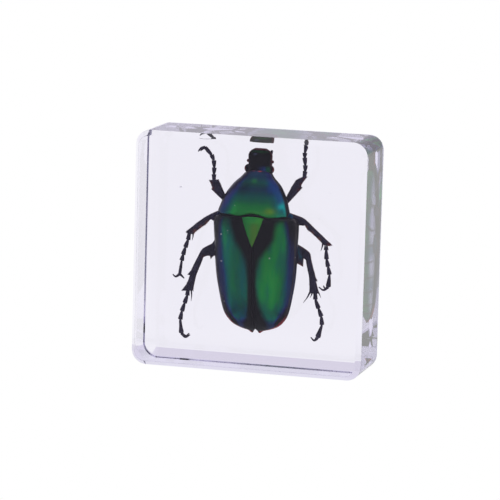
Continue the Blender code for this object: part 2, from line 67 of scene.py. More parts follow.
def makeCamera():
    p = photo
    yaw, pitch, roll = (math.radians(p[name]) for name in ("yaw", "pitch", "roll"))
    back = np.array([math.sin(yaw) * math.cos(pitch), -math.cos(yaw) * math.cos(pitch), math.sin(pitch)])
    level = np.array([math.cos(yaw), math.sin(yaw), 0.0])
    upright = np.cross(back, level)
    right = math.cos(roll) * level + math.sin(roll) * upright
    up = math.cos(roll) * upright - math.sin(roll) * level
    place = back * p["focal"] / p["sidePixels"] * blockSide * mm + np.array([0, 0, middleZ * mm])
    lens = bpy.data.cameras.new("camera")
    lens.sensor_width = p["sensor"]
    lens.lens = p["focal"] * p["sensor"] / p["frame"]
    lens.shift_x = (p["frame"] / 2 - p["middleX"]) / p["frame"]
    lens.shift_y = (p["middleY"] - p["frame"] / 2) / p["frame"]
    lens.clip_start = p["clipStart"]
    camera = bpy.data.objects.new("camera", lens)
    bpy.context.scene.collection.objects.link(camera)
    rows = [(right[i], up[i], back[i], place[i]) for i in range(3)]
    camera.matrix_world = Matrix(rows + [(0, 0, 0, 1)])
    bpy.context.scene.camera = camera


# node helpers
def setInputs(tree, node, inputs):
    # inputs by name or number, each a value or the output that feeds it
    for name, value in inputs.items():
        if isinstance(value, bpy.types.NodeSocket):
            tree.links.new(value, node.inputs[name])
        else:
            node.inputs[name].default_value = value
    return node


def addNode(tree, kind, inputs=None, **settings):
    node = tree.nodes.new("ShaderNode" + kind)
    for name, value in settings.items():
        setattr(node, name, value)
    return setInputs(tree, node, inputs or {})


def addRamp(tree, place, stops):
    # stops are place and colour, the first and last take the two that a new ramp has
    node = addNode(tree, "ValToRGB", {"Fac": place})
    elements = node.color_ramp.elements
    for at, colour in stops[1:-1]:
        elements.new(at).color = (*colour, 1)
    for element, (at, colour) in ((elements[0], stops[0]), (elements[-1], stops[-1])):
        element.position = at
        element.color = (*colour, 1)
    return node.outputs["Color"]


def addSpread(tree, value, low, high, kind="SMOOTHSTEP"):
    # 0 at low and 1 at high
    inputs = {"Value": value, "From Min": low, "From Max": high}
    return addNode(tree, "MapRange", inputs, interpolation_type=kind).outputs[0]


def addMix(tree, share, below, colour):
    # the colour laid over what is below it, as much as the share says; a Mix node's colour sockets are
    # A 6, B 7 and Result 2
    return addNode(tree, "Mix", {0: share, 6: below, 7: colour}, data_type="RGBA").outputs[2]


# light: a soft white surround, as in a light tent whose open front is dimmer and a little blue
surround = {
    # how high a ray looks, from straight down 0 to straight up 1, and the colour there
    "behind": ((0.0, (0.95, 0.95, 0.97)), (0.49, (0.93, 0.92, 0.98)), (0.51, (0.79, 0.76, 0.85)),
               (0.62, (0.79, 0.76, 0.87)), (0.78, (0.85, 0.84, 0.92)), (1.0, (0.9, 0.9, 0.93))),
    "front": ((0.0, (0.4, 0.39, 0.5)), (0.5, (0.37, 0.36, 0.48)), (0.72, (0.4, 0.39, 0.5)),
              (0.86, (0.75, 0.75, 0.82)), (1.0, (0.9, 0.9, 0.93))),
    "frontTo": -0.45, "behindFrom": 0.25,       # how far back a ray looks where each side is reached
    "strength": 1.0,
}


def makeWorld():
    s = surround
    world = bpy.data.worlds.new("softSurround")
    bpy.context.scene.world = world
    world.use_nodes = True
    tree = world.node_tree
    ray = addNode(tree, "SeparateXYZ", {0: addNode(tree, "TexCoord").outputs["Generated"]})
    rise = addSpread(tree, ray.outputs["Z"], -1.0, 1.0, "LINEAR")
    share = addSpread(tree, ray.outputs["Y"], s["frontTo"], s["behindFrom"])
    colour = addMix(tree, share, addRamp(tree, rise, s["front"]), addRamp(tree, rise, s["behind"]))
    setInputs(tree, tree.nodes["Background"], {"Color": colour, "Strength": s["strength"]})


# the floor; the resin sees it brighten from the camera's side to behind the block, in metres
floor = {
    "reach": 3.0, "drop": 0.0001, "glow": 1.0,
    "from": -0.06, "to": 0.03, "front": (0.4, 0.39, 0.5), "behind": (1.0, 1.0, 1.0),
}


def makeFloor():
    f = floor
    material = bpy.data.materials.new("paleFloor")
    material.use_nodes = True
    tree = material.node_tree
    tree.nodes.clear()
    place = addNode(tree, "SeparateXYZ", {0: addNode(tree, "TexCoord").outputs["Object"]})
    share = addSpread(tree, place.outputs["Y"], f["from"], f["to"])
    glow = addRamp(tree, share, ((0.0, f["front"]), (1.0, f["behind"])))
    through = addNode(tree, "Emission", {"Color": glow})
    direct = addNode(tree, "Emission", {"Color": (1, 1, 1, 1), "Strength": f["glow"]})
    seen = addNode(tree, "LightPath").outputs["Is Camera Ray"]
    mix = addNode(tree, "MixShader", {0: seen, 1: through.outputs[0], 2: direct.outputs[0]})
    addNode(tree, "OutputMaterial", {"Surface": mix.outputs[0]})
    r, z = f["reach"], -f["drop"]
    mesh = bpy.data.meshes.new("floor")
    mesh.from_pydata([(-r, -r, z), (r, -r, z), (r, r, z), (-r, r, z)], [], [(0, 1, 2, 3)])
    mesh.materials.append(material)
    plane = bpy.data.objects.new("floor", mesh)
    bpy.context.scene.collection.objects.link(plane)


makeCamera()
makeWorld()
makeFloor()
bpy.context.scene.view_settings.view_transform = "Standard"
print("camera, surround and floor made")


# shape tools
def smoothThrough(keys, values, at):
    # a cubic from key to key; the slope at a key is the one between its neighbours
    keys, values, at = np.asarray(keys, float), np.asarray(values, float), np.asarray(at, float)
    slopes = np.gradient(values, keys, axis=0)
    i = np.clip(np.searchsorted(keys, at) - 1, 0, len(keys) - 2)
    gap = (keys[i + 1] - keys[i])[:, None]
    t = (at - keys[i])[:, None] / gap
    return (
        (1 + 2 * t) * (1 - t) ** 2 * values[i]
        + t * (1 - t) ** 2 * gap * slopes[i]
        + t**2 * (3 - 2 * t) * values[i + 1]
        - t**2 * (1 - t) * gap * slopes[i + 1]
    )


def alongStations(stations, rows):
    # the stations' columns, read evenly from the first station to the last, each as a column of rows
    stations = np.asarray(stations, float)
    places = np.linspace(0, len(stations) - 1, rows)
    return smoothThrough(np.arange(len(stations)), stations, places).T[:, :, None]


def betweenStations(stations, places):
    # the same in straight lines, at places that count the stations from 0
    stations = np.asarray(stations, float)
    return [np.interp(places, np.arange(len(stations)), column) for column in stations.T]


def eased(low, high, value):
    # 0 at low, 1 at high, a soft S between them
    t = np.clip((value - low) / (high - low), 0, 1)
    return t * t * (3 - 2 * t)


def bell(value, middle, width):
    # 1 at the middle and falling to both sides
    return np.exp(-(((value - middle) / width) ** 2))


def unit(way):
    # a way, or each one of a row of ways, as a way of length 1
    return way / np.linalg.norm(way, axis=-1, keepdims=True)


def spots(table, x, z):
    # the sum of soft ovals: across, half width, height, half height, strength
    return sum(much * bell(x, across, wide) * bell(z, high, tall) for across, wide, high, tall, much in table)


def readTable(table, height):
    # straight lines between the table's rows, whose first column is a falling height
    table = np.asarray(table, float)[::-1]
    return [np.interp(height, table[:, 0], column) for column in table[:, 1:].T]


def fullTurn(columns):
    # the angles of a closed ring
    return np.linspace(0, 2 * math.pi, columns, endpoint=False)[None, :]


def tubeSkin(grid, marks=None):
    # rows of a closed ring joined by quads, each end closed to the middle of its ring
    rows, cols = grid.shape[:2]
    r, c = np.meshgrid(np.arange(rows - 1) * cols, np.arange(cols), indexing="ij")
    n = (c + 1) % cols
    quads = np.stack([r + c, r + n, r + cols + n, r + cols + c], -1).reshape(-1, 4)
    ring, after = np.arange(cols), np.roll(np.arange(cols), -1)
    first, last = rows * cols, rows * cols + 1
    end = (rows - 1) * cols
    tris = np.vstack([
        np.stack([after, ring, np.full(cols, first)], -1),
        np.stack([ring + end, after + end, np.full(cols, last)], -1),
    ])
    points = np.vstack([grid.reshape(-1, 3), grid[0].mean(0), grid[-1].mean(0)])
    corners = points[np.vstack([quads[:, :3], quads[:, [0, 2, 3]], tris])]
    volume = np.einsum("ij,ij->", corners[:, 0], np.cross(corners[:, 1], corners[:, 2]))
    if volume < 0:      # inside out
        quads, tris = quads[:, ::-1], tris[:, ::-1]
    marks = {
        name: np.concatenate([mark.ravel(), [mark[0].mean(), mark[-1].mean()]])
        for name, mark in (marks or {}).items()
    }
    return {"points": points, "quads": quads, "tris": tris, "marks": marks}


def joinSkins(skins):
    # one skin from several, the later ones' numbers moved up by the points before them
    starts = np.cumsum([0] + [len(s["points"]) for s in skins[:-1]])
    names = sorted({name for s in skins for name in s["marks"]})
    zeros = [np.zeros(len(s["points"])) for s in skins]
    joined = {
        kind: np.vstack([s[kind] + start for s, start in zip(skins, starts)]) for kind in ("quads", "tris")
    }
    joined["points"] = np.vstack([s["points"] for s in skins])
    joined["marks"] = {
        name: np.concatenate([s["marks"].get(name, zero) for s, zero in zip(skins, zeros)]) for name in names
    }
    return joined


specimenAt = (0.48, -1.05, 0.145)       # the middle of the beetle from the middle of the block
crease = 45.0                           # degrees; where faces meet more sharply, the edge stays sharp


def putPiece(name, skin, material, replaced=("beetle",), at=specimenAt,
             normals=None):
    mesh = bpy.data.meshes.new(name)
    points = (skin["points"] + at + np.array([0, 0, middleZ])) * mm
    mesh.from_pydata(points.tolist(), [], skin["quads"].tolist() + skin["tris"].tolist())
    mesh.shade_smooth()
    if normals is None:
        mesh.set_sharp_from_angle(angle=math.radians(crease))
    else:
        mesh.normals_split_custom_set_from_vertices(normals.tolist())
    for markName, values in skin["marks"].items():
        mark = mesh.attributes.new(markName, "FLOAT", "POINT")
        mark.data.foreach_set("value", values.astype(np.float32))
    mesh.materials.append(material)
    piece = bpy.data.objects.new(name, mesh)
    bpy.context.scene.collection.objects.link(piece)
    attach(piece, "root")
    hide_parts(*replaced)
    print("%s: %d faces" % (name, len(mesh.polygons)))


def newMaterial(name):
    material = bpy.data.materials.new(name)
    material.use_nodes = True
    return material, material.node_tree, material.node_tree.nodes["Principled BSDF"]


# the resin: polished and clear, it takes a little of each colour on the way through, least of all of the blue
resin = {
    "cornerRadius": 2.4, "arcSteps": 10, "cornerSteps": 30,
    "bevelOnFace": 0.75, "bevelOnSides": 1.2, "bevelRounding": 0.23,
    "backOnFace": 1.6, "backOnSides": 0.75, "backRounding": 0.42, "backLineRounding": 0.6,
    "ior": 1.5, "roughness": 0.0, "absorbColour": (0.14, 0.0, 0.64), "absorbDensity": 9.5,
}


def resinMaterial():
    r = resin
    material, tree, shader = newMaterial("clearResin")
    setInputs(tree, shader, {"Base Color": (1, 1, 1, 1), "Roughness": r["roughness"], "IOR": r["ior"],
                             "Transmission Weight": 1.0})
    soak = {"Color": (*r["absorbColour"], 1), "Density": r["absorbDensity"]}
    volume = addNode(tree, "VolumeAbsorption", soak)
    setInputs(tree, tree.nodes["Material Output"], {"Volume": volume.outputs[0]})
    return material


def roundedCorner(corner, fromTurn, toTurn, radius, steps):
    # an arc that touches both lines meeting at the corner; turn is the outward direction, 0 is the front's.
    # Columns: outwards from the block's side, depth from the front face, turn
    turn = np.linspace(fromTurn, toTurn, steps)
    middle = (fromTurn + toTurn) / 2
    away = radius / math.cos((toTurn - fromTurn) / 2)
    outwards = corner[0] - away * math.sin(middle) + radius * np.sin(turn)
    depth = corner[1] + away * math.cos(middle) - radius * np.cos(turn)
    return np.stack([outwards, depth, turn], -1)


def resinBlock():
    # the edge's profile carried round a square with round corners; the corner's circle shrinks with it
    r = resin
    slope = math.atan2(r["bevelOnSides"], r["bevelOnFace"])
    backSlope = math.pi - math.atan2(r["backOnSides"], r["backOnFace"])
    outwards, depth, tilt = np.vstack([
        roundedCorner(corner, fromTurn, toTurn, rounding, r["arcSteps"])
        for corner, fromTurn, toTurn, rounding in (
            ((-r["bevelOnFace"], 0), 0, slope, r["bevelRounding"]),
            ((0, r["bevelOnSides"]), slope, math.pi / 2, r["bevelRounding"]),
            ((0, blockDepth - r["backOnSides"]), math.pi / 2, backSlope, r["backRounding"]),
            ((-r["backOnFace"], blockDepth), backSlope, math.pi, r["backLineRounding"]),
        )
    ]).T
    turn = np.concatenate([np.linspace(q, q + 1, r["cornerSteps"]) for q in range(4)]) * math.pi / 2
    quarter = np.repeat(np.arange(4), r["cornerSteps"]) * math.pi / 2 + math.pi / 4
    reach = blockSide / 2 - r["cornerRadius"]
    radius = (r["cornerRadius"] + outwards)[:, None]
    x = np.sign(np.cos(quarter)) * reach + radius * np.cos(turn)
    z = np.sign(np.sin(quarter)) * reach + radius * np.sin(turn)
    y = np.broadcast_to((depth - blockDepth / 2)[:, None], x.shape)
    lean = np.sin(tilt)[:, None]
    faceY = np.broadcast_to(-np.cos(tilt)[:, None], x.shape)
    normals = np.stack([lean * np.cos(turn), faceY, lean * np.sin(turn)], -1).reshape(-1, 3)
    normals = np.vstack([normals, (0, -1, 0), (0, 1, 0)])
    putPiece("resinBlock", tubeSkin(np.stack([x, y, z], -1)), resinMaterial(),
             ["resin_front_half", "resin_back_half"], (0, 0, 0), normals)


resinBlock()


# shell colours: tone runs from black through violet, blue and green to yellow green; lit dims it to black
shellTones = (
    (0.0, (0.012, 0.010, 0.014)), (0.1, (0.022, 0.016, 0.06)), (0.25, (0.025, 0.05, 0.26)),
    (0.4, (0.008, 0.10, 0.22)), (0.5, (0.005, 0.12, 0.13)), (0.6, (0.005, 0.14, 0.10)),
    (0.7, (0.008, 0.18, 0.08)), (0.8, (0.012, 0.27, 0.055)), (0.9, (0.025, 0.31, 0.05)),
    (1.0, (0.10, 0.42, 0.025)),
)
# per metre; the streaks run along z, and a pit's edge is given in shares of the gap between pits
streaks = {"scale": (900, 900, 160), "detail": 3.0}
grain = {"pitEdge": (0.08, 0.32), "waves": 700.0, "detail": 3.0}


def newGroup(name, inputs, output, kind):
    # a group with one output, and inputs that are colours where their value is one; gives the tree,
    # the inputs' sockets and the node that takes the output
    tree = bpy.data.node_groups.new(name, "ShaderNodeTree")
    for title, value in inputs.items():
        socketType = "NodeSocketColor" if isinstance(value, tuple) else "NodeSocketFloat"
        tree.interface.new_socket(title, in_out="INPUT", socket_type=socketType).default_value = value
    tree.interface.new_socket(output, in_out="OUTPUT", socket_type=kind)
    return tree, tree.nodes.new("NodeGroupInput").outputs, tree.nodes.new("NodeGroupOutput")


def shellColourGroup():
    # streaks stretched along the body shift the tone a little, then the ramp gives the colour and lit
    # its strength
    inputs = {"Tone": 0.8, "Lit": 1.0, "Streaks": 0.03}
    tree, given, out = newGroup("shellColour", inputs, "Color", "NodeSocketColor")
    where = addNode(tree, "TexCoord").outputs["Object"]
    place = addNode(tree, "Mapping", {"Vector": where, "Scale": streaks["scale"]}).outputs[0]
    noise = addNode(tree, "TexNoise", {"Vector": place, "Scale": 1.0, "Detail": streaks["detail"]})
    centred = addNode(tree, "Math", {0: noise.outputs["Fac"], 1: 0.5}, operation="SUBTRACT").outputs[0]
    terms = {0: centred, 1: given["Streaks"], 2: given["Tone"]}
    tone = addNode(tree, "Math", terms, operation="MULTIPLY_ADD")
    colour = addRamp(tree, tone.outputs[0], shellTones)
    dimmed = addNode(tree, "VectorMath", {0: colour, "Scale": given["Lit"]}, operation="SCALE")
    setInputs(tree, out, {"Color": dimmed.outputs[0]})
    return tree


def shellGrainGroup():
    # tiny round pits, from the distance to the nearest of many scattered points, over a slow unevenness
    inputs = {"Pits per metre": 5000.0, "Pit depth": 0.6, "Unevenness": 0.4}
    tree, given, out = newGroup("shellGrain", inputs, "Height", "NodeSocketFloat")
    where = addNode(tree, "TexCoord").outputs["Object"]
    pits = addNode(tree, "TexVoronoi", {"Vector": where, "Scale": given["Pits per metre"]})
    rise = addSpread(tree, pits.outputs["Distance"], *grain["pitEdge"])
    waves = addNode(tree, "TexNoise", {"Vector": where, "Scale": grain["waves"], "Detail": grain["detail"]})
    depth = addNode(tree, "Math", {0: rise, 1: given["Pit depth"]}, operation="MULTIPLY").outputs[0]
    total = addNode(tree, "Math", {0: waves.outputs["Fac"], 1: given["Unevenness"], 2: depth},
                    operation="MULTIPLY_ADD")
    setInputs(tree, out, {"Height": total.outputs[0]})
    return tree


def softPatchesGroup():
    # two colours in cloudy patches, dark where a noise is under low and light where it is over high
    inputs = {"Dark": (0, 0, 0, 1), "Light": (1, 1, 1, 1), "Low": 0.35, "High": 0.65, "Scale": 900.0,
              "Detail": 4.0}
    tree, given, out = newGroup("softPatches", inputs, "Color", "NodeSocketColor")
    where = addNode(tree, "TexCoord").outputs["Object"]
    noise = addNode(tree, "TexNoise", {"Vector": where, "Scale": given["Scale"], "Detail": given["Detail"]})
    share = addSpread(tree, noise.outputs["Fac"], given["Low"], given["High"], "LINEAR")
    setInputs(tree, out, {"Color": addMix(tree, share, given["Dark"], given["Light"])})
    return tree


shellColour, shellGrain, softPatches = shellColourGroup(), shellGrainGroup(), softPatchesGroup()


def readMark(tree, name):
    return addNode(tree, "Attribute", attribute_name=name).outputs["Fac"]


def dressShader(tree, shader, surface, look):
    # the look's overlays on the surface colour, its gloss, and the grain as a bump
    for mark, shade in look["overlays"]:
        surface = addMix(tree, readMark(tree, mark), surface, (*shade, 1))
    pits = {"Pits per metre": look["pits"], "Pit depth": look["pitDepth"], "Unevenness": look["unevenness"]}
    height = addNode(tree, "Group", pits, node_tree=shellGrain)
    bump = addNode(tree, "Bump", {"Height": height.outputs["Height"], "Strength": look["bumpStrength"],
                                  "Distance": look["bumpDistance"]})
    setInputs(tree, shader, {"Base Color": surface, "Roughness": look["roughness"], "IOR": look["ior"],
                             "Specular IOR Level": look["specular"], "Normal": bump.outputs[0]})


def paintedShell(name, look):
    # a metallic shell whose tone and lit are painted along the surface, with the named overlays on top
    material, tree, shader = newMaterial(name)
    lit = readMark(tree, "lit")
    inputs = {"Tone": readMark(tree, "tone"), "Lit": lit, "Streaks": look["streaks"]}
    colour = addNode(tree, "Group", inputs, node_tree=shellColour)
    metal = addNode(tree, "Math", {0: lit, 1: look["metallic"]}, operation="MULTIPLY")
    setInputs(tree, shader, {"Metallic": metal.outputs[0]})
    dressShader(tree, shader, colour.outputs["Color"], look)
    return material


def plainChitin(name, look):
    # dark horn of two near shades in soft patches, with the same grain as the shell
    material, tree, shader = newMaterial(name)
    inputs = {"Dark": (*look["dark"], 1), "Light": (*look["light"], 1), "Scale": look["patches"]}
    patches = addNode(tree, "Group", inputs, node_tree=softPatches)
    dressShader(tree, shader, patches.outputs["Color"], look)
    return material


# wing cases
wingCases = {
    "rows": 130, "topColumns": 48, "underColumns": 10,
    "edgeDepth": 0.7, "undersideDepth": 1.0, "undersideShare": 0.97, "squareness": 0.9,
    "lean": -0.022, "leanFrom": 6.1,
    "groove": 0.16, "grooveWidth": 0.14,
    "bead": 0.07, "beadTurn": 1.46, "beadWidth": 0.045, "beadFrom": (6.1, 5.4),
    "bumps": ((5.2, 0.9, 4.3, 1.3, 0.16), (3.5, 0.9, -9.4, 1.3, 0.13)),     # spots, as strong as they rise
    # height, inner edge, outer edge, top of the dome
    "stations": (
        (6.1, 0.04, 4.6, -2.7), (5.7, 0.04, 6.25, -3.0), (4.9, 0.04, 6.95, -3.25), (3.2, 0.04, 6.95, -3.5),
        (1.6, 0.04, 6.85, -3.6), (-1.2, 0.04, 6.75, -3.5), (-4.2, 0.04, 6.5, -3.2), (-7.0, 0.04, 6.02, -2.7),
        (-9.0, 0.04, 5.58, -2.17), (-10.2, 0.04, 5.15, -1.75), (-11.0, 0.04, 4.62, -1.4),
        (-11.7, 0.04, 3.93, -1.05), (-12.15, 0.04, 3.15, -0.7), (-12.5, 0.12, 2.2, -0.35),
        (-12.75, 0.34, 1.25, 0.0), (-13.1, 0.5, 0.72, 0.3),
    ),
    # heights between which each case, right 1 and left -1, grows bright, and the tail turns cool and dim
    "brightFrom": {1: (6.0, 4.0), -1: (6.0, 2.6)}, "litFrom": (5.9, 5.0),
    "coolFrom": (-7.0, -10.5), "tailFrom": (-10.2, -11.6),
    "toneFalls": (0.06, 0.15, 0.3), "frontLit": 0.35, "tailDims": 0.7,      # falls: front, cool, tail
    # the rim mark is a painted highlight, pale brown, where the bead along the outer edge catches the light
    "rimIn": 0.22, "rimWidth": 0.12, "rimStrength": 0.7, "rimFrom": (-11.5, -8),
    "redReach": (0.6, 0.15), "redFrom": (-9.5, -11.3),
}
# the lit band of each case: height, its inner edge, its outer edge, how soft its inner edge is
litBands = {
    1: ((6.1, 4.0, 5.0, 0.9), (5.0, 3.85, 5.15, 1.2), (2.5, 3.5, 5.4, 1.3), (0.9, 2.55, 5.4, 1.6),
        (-0.8, 1.25, 5.2, 1.5), (-2.6, 0.75, 5.2, 0.9), (-4.9, 0.55, 5.15, 0.55), (-6.6, 0.7, 5.0, 0.8),
        (-8.2, 1.05, 4.75, 1.2), (-10.0, 1.6, 3.95, 1.3), (-11.0, 2.1, 3.4, 1.2), (-13.3, 2.2, 2.8, 0.9)),
    -1: ((6.1, 3.8, 5.0, 0.9), (4.5, 3.7, 5.3, 1.2), (2.0, 3.0, 5.15, 1.6), (0.5, 2.0, 5.0, 1.8),
         (-1.1, 1.2, 4.9, 1.4), (-3.2, 0.85, 4.6, 0.7), (-5.1, 0.8, 4.4, 0.5), (-8.4, 0.95, 4.15, 0.7),
         (-10.3, 1.25, 3.55, 1.0), (-11.0, 1.6, 3.1, 1.0), (-13.3, 1.8, 2.3, 0.9)),
}
# across a band: the place between its edges, 0 to 1, the right case's tone, the left case's, how lit it is;
# the bands are painted reflections of the lights, and the tone that falls to near black beyond them is
# painted shade
bandTones = (
    (-0.5, 0.7, 0.58, 1.0), (0.0, 0.74, 0.6, 1.05), (0.3, 0.79, 0.63, 1.12), (0.6, 0.82, 0.67, 1.18),
    (0.82, 0.78, 0.66, 1.17), (0.94, 0.67, 0.58, 1.02), (1.0, 0.57, 0.49, 0.85), (1.1, 0.41, 0.37, 0.5),
    (1.25, 0.22, 0.22, 0.32), (1.45, 0.1, 0.1, 0.25), (1.7, 0.04, 0.04, 0.15),
)
wingLook = {
    "roughness": 0.36, "ior": 1.3, "specular": 0.3, "metallic": 0.85, "streaks": 0.42,
    "pits": 5200.0, "pitDepth": 0.35, "unevenness": 0.4, "bumpStrength": 0.12, "bumpDistance": 0.00002,
    # overlays: the rim is a painted highlight along the outer bead; red is the dark red at the tail's edges
    "overlays": (("rim", (0.06, 0.045, 0.04)), ("red", (0.3, 0.012, 0.016))),
}


def wingCaseDome(across, height):
    # how deep the top of the wing cases is, at a distance from the suture; pieces that lie on them use it too
    w = wingCases
    inner, outer, top = readTable(w["stations"], height)
    share = np.clip((across - inner) / (outer - inner), 0, 1)
    return w["edgeDepth"] + (top - w["edgeDepth"]) * np.sqrt(1 - share**2) ** w["squareness"]


def sutureX(height):
    return wingCases["lean"] * (height - wingCases["leanFrom"])


def wingCaseSkin(side):
    # x = inner + (outer - inner) sin t, y = edge + (top - edge) cos^q t for t from the suture to the outer
    # edge, with a groove at the suture, a bead along the outer edge and two low bumps; the underside is flat
    w = wingCases
    height, inner, outer, top = alongStations(w["stations"], w["rows"])
    turn = np.linspace(0, math.pi / 2, w["topColumns"])[None, :]
    across = inner + (outer - inner) * np.sin(turn)
    depth = w["edgeDepth"] + (top - w["edgeDepth"]) * np.cos(turn) ** w["squareness"]
    bead = w["bead"] * bell(turn, w["beadTurn"], w["beadWidth"]) * eased(*w["beadFrom"], height)
    depth = depth - spots(w["bumps"], across, height)
    depth = depth + w["groove"] * bell(across, inner, w["grooveWidth"]) - bead * np.cos(turn)
    under = inner + (outer - inner) * np.linspace(w["undersideShare"], 0.0, w["underColumns"])[None, :]
    across = np.hstack([across + bead * np.sin(turn), under])
    depth = np.hstack([depth, np.full(under.shape, w["undersideDepth"])])
    height = np.broadcast_to(height, across.shape)
    bandStart, bandEnd, softness = readTable(litBands[side], height)
    tones = np.asarray(bandTones).T
    tone, shine = (
        np.interp((across - bandStart) / (bandEnd - bandStart), tones[0], tones[column])
        for column in (1 if side > 0 else 2, 3)
    )
    ends = (w["brightFrom"][side], w["coolFrom"], w["tailFrom"])
    front, cool, tail = (eased(*pair, height) for pair in ends)
    falls = w["toneFalls"]
    onTop = np.arange(across.shape[1]) < w["topColumns"]
    marks = {
        "tone": np.clip(tone - falls[0] * (1 - front) - falls[1] * cool - falls[2] * tail, 0.0, 1.0),
        "lit": eased(0, 1, (across - bandStart) / softness + 0.5) * shine * (1 - w["tailDims"] * tail)
        * (w["frontLit"] + (1 - w["frontLit"]) * front) * eased(*w["litFrom"], height) * onTop,
        "rim": w["rimStrength"] * bell(across, outer - w["rimIn"], w["rimWidth"]) * onTop
        * eased(*w["rimFrom"], height),
        "red": eased(*w["redReach"], outer - across) * eased(*w["redFrom"], height),
    }
    return tubeSkin(np.stack([side * across + sutureX(height), depth, height], -1), marks)


wingShell = paintedShell("wingCaseShell", wingLook)
for side, name in ((-1, "wingCaseLeft"), (1, "wingCaseRight")):
    putPiece(name, wingCaseSkin(side), wingShell)


# scutellum: the small triangle in front of the suture
scutellum = {
    "rows": 40, "columns": 24, "underColumns": 4,
    "front": 5.75, "tip": 1.2, "halfWidth": 1.75, "tipWidth": 0.05, "taper": 0.92,
    "rise": 0.12, "thickness": 0.6, "roundFront": 0.16, "edgeFall": 0.1,
    "tone": 0.9, "toneLean": 0.05, "lit": 1.05, "edgeDims": 0.25, "edgeFrom": 0.88,
    "gold": 0.45, "goldX": 0.35, "goldWidth": 0.8, "goldFrom": (5.6, 4.2),
}
scutellumLook = {
    **wingLook, "metallic": 0.8, "pits": 6500.0, "pitDepth": 0.25, "streaks": 0.08,
    "overlays": (("gold", (0.22, 0.30, 0.02)),),
}


def scutellumSkin():
    # a triangle whose width falls along it, laid on the wing cases' dome and raised; its edges fall a little
    s = scutellum
    along = np.linspace(0, 1, s["rows"])[:, None]
    share = np.linspace(-1, 1, s["columns"])[None, :]
    under = np.linspace(1, -1, s["underColumns"])[None, :]
    halfWidth = s["halfWidth"] * (1 - along) ** s["taper"] + s["tipWidth"]
    straight = s["front"] + (s["tip"] - s["front"]) * along
    height = straight + s["roundFront"] * (1 - share**2) * (1 - along)
    x = np.hstack([halfWidth * share, halfWidth * under])
    z = np.hstack([height, straight + 0 * under])
    lift = np.hstack([s["edgeFall"] * share**6 - s["rise"], s["thickness"] + 0 * under])
    y = wingCaseDome(np.abs(x), z) + lift
    onTop = np.arange(x.shape[1]) < s["columns"]
    marks = {
        "tone": s["tone"] + s["toneLean"] * x / s["halfWidth"],
        "lit": onTop * (s["lit"] - s["edgeDims"] * eased(s["edgeFrom"], 1.0, np.abs(x) / halfWidth)),
        "gold": onTop * s["gold"] * bell(x, s["goldX"], s["goldWidth"]) * eased(*s["goldFrom"], z),
    }
    return tubeSkin(np.stack([x + sutureX(z), y, z], -1), marks)


putPiece("scutellum", scutellumSkin(), paintedShell("scutellumShell", scutellumLook))


# pronotum: the shield behind the head
pronotum = {
    "rows": 90, "topColumns": 72, "underColumns": 16,
    "edgeDepth": 0.7, "undersideDepth": 1.6, "squareness": 0.9,
    "bead": 0.09, "beadTurn": 1.44, "beadWidth": 0.06,
    # the rear edge: place across, its width, how far it comes down there, and the heights where that fades in
    "rearWaves": ((-0.1, 1.5, -0.36), (-2.4, 1.0, 0.1), (3.0, 1.3, 0.24)), "rearFrom": (8.4, 6.0),
    # height, middle, half width, top of the dome
    "stations": (
        (5.95, -0.35, 5.5, -2.75), (6.15, -0.38, 5.88, -3.05), (7.2, -0.3, 5.64, -3.2),
        (9.0, -0.15, 5.0, -3.1), (10.8, 0.05, 3.9, -2.6), (12.0, 0.14, 2.72, -1.95),
        (12.75, 0.25, 2.1, -1.35), (13.15, 0.33, 1.3, -0.85),
    ),
    # height, then tone and light along the middle, on the left and on the right
    "tones": (
        (13.2, 0.33, 0.4, 0.05, 0.4, 0.2, 0.5), (12.1, 0.43, 0.45, 0.08, 0.45, 0.25, 0.7),
        (11.3, 0.57, 0.8, 0.08, 0.6, 0.27, 1.0), (10.3, 0.42, 0.42, 0.1, 0.6, 0.33, 1.0),
        (9.0, 0.62, 1.0, 0.2, 0.6, 0.38, 1.0), (7.8, 0.79, 1.05, 0.24, 0.6, 0.43, 1.05),
        (7.0, 0.84, 1.15, 0.33, 0.55, 0.53, 1.15), (6.2, 0.85, 1.2, 0.38, 0.55, 0.64, 1.35),
    ),
    "leftFrom": (0.45, 0.88), "rightFrom": (0.45, 0.9),     # shares of the half width where a side takes over
    # rimFrom and rearRows place painted dark shade along the sides and in the gap at the rear edge; darkFrom
    # dims the painted light towards the sides
    "rimFrom": (0.9, 0.965), "darkFrom": (1.0, 0.93), "rearRows": (5, 1),
    # turquoiseGlintEdge: a painted turquoise glint along the right edge
    "turquoiseGlintEdge": (0.93, 0.05, 7.4, 1.0, 0.55),          # a spot along the right edge, across as a share
    # across, half width, height, half height, strength
    "spots": {
        # gold and turquoise are painted glints, where the lights catch the dome
        "gold": ((2.7, 0.8, 6.9, 0.5, 0.6), (0.8, 1.8, 6.6, 0.35, 0.1)),
        "turquoise": ((4.35, 0.4, 7.7, 0.45, 0.75),),
        "spot": ((0.0, 0.45, 11.6, 0.35, 0.7),),
        "blue": ((2.75, 0.7, 10.6, 0.8, 0.6),),
        "neck": ((-0.4, 0.25, 13.1, 0.09, 0.3), (0.65, 0.3, 13.1, 0.09, 0.9)),
    },
}
pronotumLook = {
    **wingLook, "roughness": 0.33, "streaks": 0.05,
    "overlays": (
        # the gold and turquoise overlays are painted glints
        ("gold", (0.25, 0.42, 0.015)), ("turquoise", (0.005, 0.62, 0.48)), ("spot", (0.02, 0.25, 0.04)),
        # the rim overlay is painted dark shade at the sides and along the rear edge
        ("blue", (0.01, 0.09, 0.4)), ("rim", (0.006, 0.005, 0.009)), ("neck", (0.6, 0.08, 0.08)),
    ),
}


